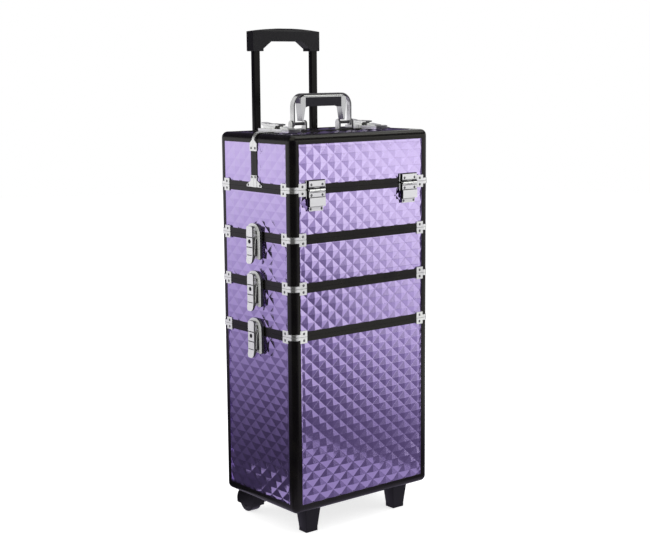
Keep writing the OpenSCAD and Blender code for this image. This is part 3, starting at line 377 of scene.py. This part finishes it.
def soften(node, width):
    """Rounds a solid's sharp edges with live modifiers; the mesh itself stays as packed."""
    weld = node.modifiers.new("weld", "WELD")
    weld.merge_threshold = WELD_WITHIN
    flat = node.modifiers.new("flat", "DECIMATE")
    flat.decimate_type = "DISSOLVE"
    flat.angle_limit = FLAT_BELOW
    round_off = node.modifiers.new("round_off", "BEVEL")
    round_off.width = width
    round_off.segments = 2
    round_off.limit_method = "ANGLE"
    round_off.angle_limit = SHARP_ABOVE


SOFT_EDGE = {"_brackets": 0.0004, "_latch_bases": 0.0007, "_strikes": 0.0008, "_lever": 0.0006,
             "_hinge_leaves": 0.0006, "front_feet": 0.0012, "trolley_grip": 0.001, "carry_bail": 0.0004}
for name, node in nodes.items():
    for end, width in SOFT_EDGE.items():
        if name.endswith(end):
            soften(node, width)
print("softened", sum(1 for n in nodes.values() if n.modifiers))

# %% [markdown]
# ## The diamond film
# The film on each panel is pressed into rows of low pyramids with diamond feet. A grid turned by
# 45 degrees has diamond faces, and poking each face lifts its centre to a point. The sheet is
# trimmed to its panel with four cuts, its upright edges run out into a narrow flat hem, and the
# open back is closed. On narrow sheets the hem lies as high as the points. The rows start at a
# different place on every tier, as they do on sheets cut from a roll.

# %% Panels of a skin
SHIFT_Y = -0.00915
CASE_MIDDLE = Vector((0, SHIFT_Y, 0))
FILM_T, EMBOSS, CREASE = 0.0008, 0.0021, 0.0002
DIAMOND = (0.0167, 0.0152)
NARROW, SHEET_DEPTH = 0.20, 0.02
STRIP = 0.0011
WIDE_HEM, NARROW_HEM = (0.0036, 0.7), (0.0075, 1.0)
SAME_POINT, ON_PLANE = 0.00001, 0.000002
PANEL_SIDES = (
    (Vector((0, -1, 0)), Vector((1, 0, 0)), Vector((0, 0, 1))),
    (Vector((0, 1, 0)), Vector((-1, 0, 0)), Vector((0, 0, 1))),
    (Vector((-1, 0, 0)), Vector((0, -1, 0)), Vector((0, 0, 1))),
    (Vector((1, 0, 0)), Vector((0, 1, 0)), Vector((0, 0, 1))),
    (Vector((0, 0, 1)), Vector((1, 0, 0)), Vector((0, 1, 0))),
)


def panel_boxes(node):
    """Lowest and highest corner of each separate sheet in a skin node."""
    bm = bmesh.new()
    bm.from_mesh(node.data)
    bmesh.ops.remove_doubles(bm, verts=bm.verts[:], dist=SAME_POINT)
    left, boxes = set(bm.verts), []
    while left:
        todo, sheet = [left.pop()], []
        while todo:
            vert = todo.pop()
            sheet.append(vert.co.copy())
            for edge in vert.link_edges:
                other = edge.other_vert(vert)
                if other in left:
                    left.remove(other)
                    todo.append(other)
        boxes.append((Vector(map(min, zip(*sheet))), Vector(map(max, zip(*sheet)))))
    bm.free()
    return boxes


def emboss_panel(whole, low, high, apex):
    """Adds one pressed sheet to a mesh, with a pyramid's point over the apex."""
    size, centre = high - low, (low + high) / 2
    thin = min(range(3), key=lambda axis: size[axis])
    out, across, along = next(side for side in PANEL_SIDES if abs(side[0][thin]) > 0.5
                              and side[0][thin] * (centre - CASE_MIDDLE)[thin] >= 0)
    wide, tall = abs(size.dot(across)), abs(size.dot(along))
    start = apex - centre
    shift = Vector((start.dot(across), start.dot(along), 0))
    shift.x -= round(shift.x / (2 * DIAMOND[0])) * 2 * DIAMOND[0]
    shift.y -= round(shift.y / (2 * DIAMOND[1])) * 2 * DIAMOND[1]
    count = 2 * math.ceil((wide / DIAMOND[0] + tall / DIAMOND[1]) / 4 + 2) + 1
    bm = bmesh.new()
    bmesh.ops.create_grid(bm, x_segments=count, y_segments=count, size=count / 2)
    half_diagonal = math.sqrt(0.5)
    stretch = (DIAMOND[0] / half_diagonal, DIAMOND[1] / half_diagonal, 1)
    bmesh.ops.rotate(bm, verts=bm.verts[:], cent=(0, 0, 0), matrix=Matrix.Rotation(math.pi / 4, 3, "Z"))
    bmesh.ops.scale(bm, verts=bm.verts[:], vec=stretch)
    bmesh.ops.translate(bm, verts=bm.verts[:], vec=shift + Vector((0, 0, FILM_T)))
    for axis, reach in ((0, wide), (1, tall)):
        far = [f for f in bm.faces if abs(f.calc_center_median()[axis]) > reach / 2 + DIAMOND[axis]]
        bmesh.ops.delete(bm, geom=far, context="FACES")
    bmesh.ops.poke(bm, faces=bm.faces[:], offset=EMBOSS)
    creases = [e for e in bm.edges if not e.is_boundary]
    bmesh.ops.bevel(bm, geom=creases, offset=CREASE, offset_type="OFFSET", segments=1, profile=0.5,
                    affect="EDGES", material=-1)
    slope, rise = NARROW_HEM if wide < NARROW else WIDE_HEM
    for way in (-1, 1):
        cuts = [(Vector((way, 0, 0)), wide / 2, inward) for inward in (slope, STRIP, 0.0)]
        cuts.append((Vector((0, way, 0)), tall / 2, 0.0))
        for away, reach, inward in cuts:
            bmesh.ops.bisect_plane(bm, geom=bm.verts[:] + bm.edges[:] + bm.faces[:], dist=ON_PLANE,
                                   plane_co=away * (reach - inward), plane_no=away, clear_outer=inward == 0)
    hem = [v for v in bm.verts if abs(v.co.x) > wide / 2 - STRIP - SAME_POINT]
    bmesh.ops.scale(bm, verts=hem, vec=(1, 1, 0))
    bmesh.ops.translate(bm, verts=hem, vec=(0, 0, FILM_T + EMBOSS * rise))
    rim = bmesh.ops.extrude_edge_only(bm, edges=[e for e in bm.edges if e.is_boundary])["geom"]
    bmesh.ops.scale(bm, verts=[g for g in rim if isinstance(g, bmesh.types.BMVert)], vec=(1, 1, 0))
    bmesh.ops.holes_fill(bm, edges=[e for e in bm.edges if e.is_boundary], sides=0)
    bmesh.ops.recalc_face_normals(bm, faces=bm.faces[:])
    foot = centre - out * size[thin] / 2
    turn = Matrix((across, along, out)).transposed().to_4x4()
    bmesh.ops.transform(bm, matrix=Matrix.Translation(foot) @ turn, verts=bm.verts[:])
    sheet = to_mesh("sheet", bm)
    whole.from_mesh(sheet)
    bpy.data.meshes.remove(sheet)


def new_piece(name, bm, finish, body):
    """Makes an object of a finished bmesh, gives it its finish and lets it ride on a body."""
    mesh = to_mesh(name, bm)
    mesh.materials.append(finish)
    piece = add_object(name, mesh)
    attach(piece, body)
    return piece


# %% Press the film of every tier
SHEET_STARTS = {
    "base": ((-0.1425, 0.3418), (0.0128, 0.0136)),
    "lower_tray": ((0.0156, 0.0076), (0.0136, 0.0056)),
    "upper_tray": ((0.0268, 0.0008), (0.0160, 0.0016)),
    "top_case": ((0.0020, 0.0040), (0.0048, 0.0016)),
    "front_lid": ((0.0160, 0.0008), (0.0320, 0.0040)),
    "back_lid": ((0.0160, 0.0008), (0.0320, 0.0040)),
}
for body, (wide_start, narrow_start) in SHEET_STARTS.items():
    whole = bmesh.new()
    boxes = panel_boxes(nodes[body + "_skins"])
    for low, high in boxes:
        if high.x - low.x < SHEET_DEPTH:
            apex = Vector((0, narrow_start[0] + SHIFT_Y, narrow_start[1]))
        else:
            apex = Vector((wide_start[0], 0, wide_start[1]))
        emboss_panel(whole, low, high, apex)
    skin = new_piece(body + "_film", whole, film, body)
    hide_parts(body + "_skins")
    print(body, "sheets", len(boxes), "faces", len(skin.data.polygons))

# %% [markdown]
# ## Rivets
# Every pressed fitting is held by small domed steel rivets, each ringed by a flat dark disc that is painted
# shadow.
# One rivet is a short profile spun round its axis; copies of it are then stamped wherever a
# fitting needs one. There are many of them, so the rivet has only a few dozen faces.

# %% One rivet
DOME = ((1.0, -0.2), (1.0, 0.3), (0.78, 0.75), (0.38, 1.0), (0.0, 1.05))
TIP_WITHIN = 0.000001


def rivet(radius, height):
    """A domed rivet head standing on z = 0."""
    bm = bmesh.new()
    points = [bm.verts.new((radius * r, 0, height * h)) for r, h in DOME]
    lines = [bm.edges.new(pair) for pair in zip(points, points[1:])]
    bmesh.ops.spin(bm, geom=points + lines, axis=(0, 0, 1), cent=(0, 0, 0), angle=2 * math.pi, steps=10,
                   use_merge=True)
    bmesh.ops.remove_doubles(bm, verts=bm.verts[:], dist=TIP_WITHIN)
    bmesh.ops.recalc_face_normals(bm, faces=bm.faces[:])
    for face in bm.faces:
        face.smooth = True
    return to_mesh("rivet", bm)


def stamp(bm, template, place, out):
    """Adds a copy of a template mesh at a place, its z turned to the outward direction."""
    first = len(bm.verts)
    bm.from_mesh(template)
    bm.verts.ensure_lookup_table()
    turn = Vector(out).to_track_quat("Z", "Y").to_matrix().to_4x4()
    bmesh.ops.transform(bm, matrix=Matrix.Translation(place) @ turn, verts=bm.verts[first:])


# %% Rivets of every body
HALF_W, HALF_D = 0.170, 0.115
SEAMS = (0.393, 0.484, 0.575, 0.667)
LIDS = ((-1, "front_lid"), (1, "back_lid"))
BRACKET_T, RIVET_IN, RIVET_UP = 0.0012, 0.0242, 0.0064
places = {body: [] for body in SHEET_STARTS}


def bracket_rivets(body, z, rows=(-1, 1)):
    """Notes the rivets of a tier's corner brackets at one height: one on each leg."""
    for x in (-1, 1):
        for y in rows:
            on_wide = (x * (HALF_W - RIVET_IN), y * (HALF_D + BRACKET_T) + SHIFT_Y, z)
            on_narrow = (x * (HALF_W + BRACKET_T), y * (HALF_D - RIVET_IN) + SHIFT_Y, z)
            places[body] += [(on_wide, (0, y, 0)), (on_narrow, (x, 0, 0))]


TIERS = ("base", "lower_tray", "upper_tray", "top_case")
for lower, upper, seam in zip(TIERS, TIERS[1:], SEAMS):
    bracket_rivets(lower, seam - RIVET_UP)
    bracket_rivets(upper, seam + RIVET_UP)
bracket_rivets("top_case", SEAMS[3] - RIVET_UP)
for way, lid in LIDS:
    bracket_rivets(lid, SEAMS[3] + RIVET_UP, (way,))

HINGE_X, HINGE_RIVET_X, LEAF_OUT, TAB_OUT = 0.115, 0.013, 0.005, 0.002
for way, lid in LIDS:
    hinge_rows = (lid, 0.6762, LEAF_OUT), ("top_case", 0.6568, LEAF_OUT), ("top_case", 0.6312, TAB_OUT)
    for x in (-HINGE_X, HINGE_X):
        for side in (-HINGE_RIVET_X, HINGE_RIVET_X):
            for body, z, out in hinge_rows:
                places[body].append(((x + side, way * (HALF_D + out) + SHIFT_Y, z), (0, way, 0)))

FLANGE_X, STRAP_X = HALF_W + 0.0015, HALF_W + 0.0025
STRAP_RIVETS = (0.0188, FLANGE_X, 0.6708), (0.0052, STRAP_X, 0.6862), (0.0062, STRAP_X, 0.7405)
for way, lid in LIDS:
    for x in (-1, 1):
        for along, face, z in STRAP_RIVETS:
            places[lid].append(((x * face, way * along + SHIFT_Y, z), (x, 0, 0)))

HEADS = (
    ("rivets", rivet(0.0016, 0.0012), rivet_steel, "chrome"),
    # flat dark discs round the rivets: painted shadow
    ("rivet_seats", rivet(0.0025, 0.0003), lock_core_and_painted_shade, "black_plastic"),
)
for part, template, finish, slot in HEADS:
    for body, spots in places.items():
        bm = bmesh.new()
        for place, out in spots:
            stamp(bm, template, place, out)
        new_piece(body + "_" + part, bm, finish, body)
    print(part, sum(len(spots) for spots in places.values()))

# %% [markdown]
# ## Hinge folds
# The hinges are folded sheet, and every fold lies in shade. That shade is painted: each fold line is a thin
# dark bar let into the leaf, and a dark plate with a bright rim under the leaf stands in for the shade
# round its edges.

# %% Hinge fold bars and plates: painted shade
def add_box(bm, centre, size):
    """Adds an upright box to a mesh."""
    bmesh.ops.create_cube(bm, size=1.0, matrix=Matrix.Translation(centre) @ Matrix.Diagonal((*size, 1)))


LEAF_W, TAB_W, FOLD_SHADE_T = 0.0362, 0.0326, 0.0005
SHADE_PLATE_W, SHADE_PLATE_T = 0.0436, 0.0010
RIM_X, RIM_W, RIM_T = 0.0222, 0.0009, 0.0016
LID_FOLD_SHADE = ((0.6722, 0.0009, LEAF_OUT, LEAF_W),)
CASE_FOLD_SHADE = (
    (0.6618, 0.0009, LEAF_OUT, LEAF_W),
    (0.6527, 0.0012, LEAF_OUT, LEAF_W),
    (0.6354, 0.0012, TAB_OUT, TAB_W),
)
LID_SHADE_PLATE, CASE_SHADE_PLATE = (0.6685, 0.6845), (0.6510, 0.6658)
fold_shade = {body: bmesh.new() for body in ("front_lid", "back_lid", "top_case")}
rims = {body: bmesh.new() for body in fold_shade}
for way, lid in LIDS:
    face_y = way * HALF_D + SHIFT_Y
    leaves = (lid, LID_FOLD_SHADE, LID_SHADE_PLATE), ("top_case", CASE_FOLD_SHADE, CASE_SHADE_PLATE)
    for x in (-HINGE_X, HINGE_X):
        for body, lines, (low, high) in leaves:
            for z, tall, out, wide in lines:
                # thin dark bars: painted shade in the folds
                add_box(fold_shade[body], (x, face_y + way * out, z), (wide, FOLD_SHADE_T, tall))
            middle, tall = (low + high) / 2, high - low
            # a dark plate under the leaf: painted shade round its edges
            add_box(fold_shade[body], (x, face_y + way * SHADE_PLATE_T / 2, middle), (SHADE_PLATE_W, SHADE_PLATE_T, tall))
            for side in (-RIM_X, RIM_X):
                add_box(rims[body], (x + side, face_y + way * RIM_T / 2, middle), (RIM_W, RIM_T, tall))
for body in fold_shade:
    new_piece(body + "_hinge_folds", fold_shade[body], lock_core_and_painted_shade, body)
    new_piece(body + "_hinge_rims", rims[body], chrome, body)

# %% [markdown]
# ## Lock cores
# Each latch lever carries a small key lock: a dark round core. The three dark lines across the
# lever, where its shell is folded, are painted shade in the folds. They are small inlays, so each
# lever gets one mesh with a bevelled core and three thin bars.

# %% Lock core template
CORE_FOOT_R, CORE_TOP_R, CORE_T, CORE_Y, CORE_EDGE = 0.0043, 0.0040, 0.0008, -0.010, 0.0003
FOLD_SHADE_BAR_T = 0.0005
FOLD_SHADE_BARS = (-0.002, 0.0176, 0.0016), (-0.021, 0.0176, 0.0016), (-0.0362, 0.0160, 0.0012)


def lock_inlay():
    """Core and painted fold shade of one lever, lying on z = 0 with the seam along x."""
    bm = bmesh.new()
    core = bmesh.ops.create_cone(bm, cap_ends=True, segments=24, radius1=CORE_FOOT_R, radius2=CORE_TOP_R,
                                 depth=CORE_T, matrix=Matrix.Translation((0, CORE_Y, 0)))["verts"]
    rim = [e for e in {e for v in core for e in v.link_edges} if all(v.co.z > 0 for v in e.verts)]
    bmesh.ops.bevel(bm, geom=rim, offset=CORE_EDGE, offset_type="OFFSET", segments=2, profile=0.5,
                    affect="EDGES", material=-1)
    # three thin dark bars: painted shade in the folds of the shell
    for y, wide, tall in FOLD_SHADE_BARS:
        add_box(bm, (0, y, 0), (wide, tall, FOLD_SHADE_BAR_T))
    return to_mesh("lock_inlay", bm)


# %% Locks on the levers
LEVER_OUT, TOP_FACE_BELOW = 0.0145, 0.0025
inlay = lock_inlay()


def add_lock(body, place, turn):
    """Lets a copy of the inlay ride on a lever."""
    bm = bmesh.new()
    bm.from_mesh(inlay)
    bmesh.ops.transform(bm, verts=bm.verts[:], matrix=Matrix.Translation(place) @ turn)
    new_piece(body + "_lock", bm, lock_core_and_painted_shade, body)


for tier, seam in zip(TIERS[:3], SEAMS):
    for side, x in (("left", -1), ("right", 1)):
        turn = Matrix(((0, 0, x), (x, 0, 0), (0, 1, 0))).to_4x4()
        add_lock(tier + "_" + side + "_lever", (x * (HALF_W + LEVER_OUT), SHIFT_Y, seam), turn)
for body in ("top_left_lever", "top_right_lever"):
    low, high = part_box(body)
    place = ((low.x + high.x) / 2, SHIFT_Y, high.z - TOP_FACE_BELOW)
    add_lock(body, place, Matrix.Rotation(math.pi, 4, "Z"))

# %% [markdown]
# ## The studio
# The case stands on a white sweep under a white sky. Gloss shows whatever stands round it, so
# the studio matters as much as the finish. Reflections alone see a set of cards: a grey stand
# under the case, floors that brighten outwards, walls that brighten upwards, dark cards behind
# the camera and high up, and two bright cards at the right front.

# %% World and floor
world = bpy.data.worlds.new("studio")
bpy.context.scene.world = world
world.use_nodes = True
sky = Wire(world.node_tree)
background = world.node_tree.nodes["Background"]
background.inputs["Color"].default_value = (1, 1, 1, 1)


def seen_white(wire):
    """1 for the rays that see the backdrop itself: from the camera, in gloss and through glass."""
    kinds = [wire.node("ShaderNodeLightPath", {}, {}, kind)
             for kind in ("Is Camera Ray", "Is Glossy Ray", "Is Transmission Ray")]
    return wire.math("MAXIMUM", wire.math("MAXIMUM", kinds[0], kinds[1]), kinds[2])


AMBIENT, PAPER, FLOOR_GLOW, FLOOR_R = 0.70, 0.8, 0.72, 7.0
feed(background, Strength=AMBIENT + (1.0 - AMBIENT) * seen_white(sky))

sweep = bpy.data.materials.new("white_sweep")
sweep.use_nodes = True
tree = sweep.node_tree
tree.nodes.remove(tree.nodes["Principled BSDF"])
wire = Wire(tree)
paper = wire.node("ShaderNodeBsdfDiffuse", {}, {"Color": (PAPER, PAPER, PAPER, 1)})
glow = wire.node("ShaderNodeEmission", {}, {"Color": (1, 1, 1, 1), "Strength": FLOOR_GLOW})
lit = wire.node("ShaderNodeAddShader", {}, {0: paper, 1: glow})
floor_look = wire.node("ShaderNodeMixShader", {}, {0: seen_white(wire), 1: paper, 2: lit})
tree.links.new(floor_look.socket, tree.nodes["Material Output"].inputs["Surface"])

# %% Stage pieces
DARK_TINT = (0.965, 0.79, 1.39)
DEGREES_PER_STEP, LEAST_STEPS = 5, 6


def shade(value, stops):
    """A ramp over a distance. The darker it gets, the more it leans to violet, like light off the film."""
    first, last = stops[0][0], stops[-1][0]
    shades = []
    for distance, light in stops:
        pale = min(light, 1.0)
        colour = [light * (tint + (1 - tint) * pale) for tint in DARK_TINT]
        shades.append(((distance - first) / (last - first), (*colour, 1)))
    share = (value - first) * (1 / (last - first))
    return value.node("ShaderNodeValToRGB", {"stops": shades}, {"Fac": share})


def card_finish(name, along, dark, light=None, start=0.0, pace=(0.0, 0.0)):
    """A card as reflections see it: shaded along a direction, or by its reach where none is given. With
    light stops it turns to them on the way round to the right."""
    material, place, surface = new_finish(name, Base_Color=(0, 0, 0, 1), Specular_IOR_Level=0.0,
                                          Emission_Strength=1.0)
    x, y, z = (place.part(axis) for axis in range(3))
    value = along[0] * x + along[1] * y + along[2] * z if along else place.math("SQRT", x * x + y * y)
    look = shade(value, dark)
    if light:
        turn = place.math("ARCTAN2", x, 0.0 - y) * math.degrees(1)
        mix = place.math("MULTIPLY", turn - start, pace[0] + pace[1] * value, clamp=True)
        look = mix.blend(look, shade(value, light))
    feed(surface, Emission_Color=look)
    return material


def stage_piece(name, bm, material, in_gloss_only):
    """Makes a piece of the studio, seen either by reflections only or by everything else."""
    mesh = to_mesh(name, bm)
    mesh.materials.append(material)
    piece = add_object(name, mesh)
    piece.visible_glossy = in_gloss_only
    if in_gloss_only:
        piece.visible_camera = False
        piece.visible_diffuse = False
        piece.visible_shadow = False
        piece.visible_transmission = False


def swept_card(name, near, far, start, stop, material):
    """Sweeps a line between two (radius, height) points round the case, in degrees from front to right."""
    bm = bmesh.new()
    turn = math.radians(start)
    ends = [bm.verts.new((r * math.sin(turn), -r * math.cos(turn), z)) for r, z in (near, far)]
    line = bm.edges.new(ends)
    bmesh.ops.spin(bm, geom=ends + [line], axis=(0, 0, 1), cent=(0, 0, 0), angle=math.radians(stop - start),
                   steps=max(LEAST_STEPS, round((stop - start) / DEGREES_PER_STEP)), use_merge=False)
    stage_piece(name, bm, material, True)


# %% Floor and stand
bm = bmesh.new()
bmesh.ops.create_circle(bm, cap_ends=True, segments=64, radius=FLOOR_R)
stage_piece("floor", bm, sweep, False)

STAND = ((-0.31, 0.07), (-0.42, -0.20), (-0.16, -0.60), (0.45, -0.037), (0.18, 0.30))
LEDGE = ((-0.31, 0.07), (-0.31, 0.24), (-0.332, 0.24), (-0.332, 0.05))
STAND_Z, STAND_GREY = -0.001, 0.435
UPWARD, OUTWARD = (0, 0, 1), (1.3, -0.7, 0)
bm = bmesh.new()
for outline in (STAND, LEDGE):
    bmesh.ops.contextual_create(bm, geom=[bm.verts.new((x, y, STAND_Z)) for x, y in outline])
stand_grey = card_finish("stand_grey", UPWARD, [(0.0, STAND_GREY), (1.0, STAND_GREY)])
stage_piece("stand", bm, stand_grey, True)

# %% [markdown]
# Each card's look is a list of stops: how far along, then how bright. The long cards at the front
# have two lists, a dark one for the left end and a light one for the right end, with the angle
# where the change begins and its pace per degree.

# %% Cards
camera_dark = card_finish("camera_dark", UPWARD, [(0.0, 0.08), (2.2, 0.10)])
near_ground = card_finish(
    "near_ground", OUTWARD, [(0.45, 0.12), (0.75, 0.155), (0.95, 0.21), (1.2, 0.34), (1.5, 0.45)])
far_ground = card_finish(
    "far_ground", None,
    [(1.0, 0.11), (2.2, 0.12), (2.8, 0.19), (3.2, 0.31), (4.1, 0.46), (5.6, 0.56)],
    [(1.0, 0.45), (2.2, 0.57), (2.8, 0.73), (3.3, 0.86), (3.8, 0.97), (4.6, 1.15), (5.6, 1.25)],
    22.3, (0.11, 0.0))
front_wall = card_finish(
    "front_wall", UPWARD,
    [(-0.65, 0.115), (0.10, 0.125), (0.47, 0.155), (1.05, 0.29), (1.24, 0.46), (1.62, 0.58), (2.2, 0.75)],
    [(-0.65, 1.0), (-0.62, 1.0), (-0.59, 0.20), (-0.38, 0.20), (-0.29, 0.33), (0.09, 0.63),
     (0.645, 0.90), (1.04, 1.0), (1.41, 1.07), (2.2, 1.1)],
    21.6, (0.055, 0.075))
back_ground = card_finish("back_ground", None, [(0.0, 0.044), (0.37, 0.044)])
BACK_STOPS = [(0.0, 0.044), (0.08, 0.066), (0.14, 0.10), (0.20, 0.16), (0.26, 0.26), (0.38, 0.46),
              (0.50, 0.62), (0.69, 0.82)]
back_wall = card_finish("back_wall", UPWARD, BACK_STOPS + [(0.775, 0.86), (0.80, 0.10), (1.6, 0.08)])
lid_wall = card_finish("lid_wall", UPWARD, BACK_STOPS + [(0.74, 0.83), (0.77, 0.10), (1.6, 0.08)])
lid_glow = card_finish("lid_glow", UPWARD, [(-0.65, 1.2), (-0.40, 1.2)])
top_box = card_finish("top_box", UPWARD, [(0.0, 2.2), (5.0, 2.2)])

swept_card("camera_gap", (2.2, -0.01), (2.2, 1.6), -100, 4, camera_dark)
swept_card("camera_floor", (0.1, -0.002), (2.2, -0.002), -100, 4, camera_dark)
swept_card("near_floor", (0.1, -0.002), (1.0, -0.002), 4, 110, near_ground)
swept_card("far_floor", (1.0, -0.45), (5.6, -0.62), 4, 110, far_ground)
swept_card("front_side", (5.6, -0.65), (5.6, 2.2), 4, 110, front_wall)
swept_card("lid_strip", (5.5, -0.60), (5.5, -0.45), 55, 75, lid_glow)
swept_card("back_floor", (0.1, -0.002), (0.37, -0.002), 110, 285, back_ground)
swept_card("back_side", (0.37, -0.01), (0.37, 1.6), 195, 285, back_wall)
swept_card("lid_side", (0.37, -0.01), (0.37, 1.6), 110, 195, lid_wall)
swept_card("front_top", (5.6, 2.2), (5.6, 6.2), 4, 110, camera_dark)
swept_card("top_side", (3.0, 3.1), (3.0, 4.6), 50, 84, top_box)

# %% [markdown]
# ## The lamps
# Three large soft lamps do the shaping: one at the right front, one at the left back and one
# above. They stay weak enough that a colour renders about as it is written.

# %% Lamps
def soft_lamp(name, place, target, size, watts):
    """A large area lamp aimed at a target and kept out of reflections."""
    light = bpy.data.lights.new(name, "AREA")
    light.shape = "RECTANGLE"
    light.size, light.size_y = size
    light.energy = watts
    lamp = add_object(name, light)
    lamp.visible_glossy = False
    lamp.location = place
    lamp.rotation_euler = (Vector(target) - Vector(place)).to_track_quat("-Z", "Y").to_euler()


soft_lamp("right_front_lamp", (1.5, -1.1, 1.1), (0, 0, 0.45), (1.6, 2.0), 9.0)
soft_lamp("left_back_lamp", (-1.35, 1.5, 1.15), (0, 0, 0.45), (1.6, 2.0), 9.0)
soft_lamp("top_lamp", (0.0, -0.2, 2.4), (0, 0, 0.5), (1.6, 1.6), 8.0)
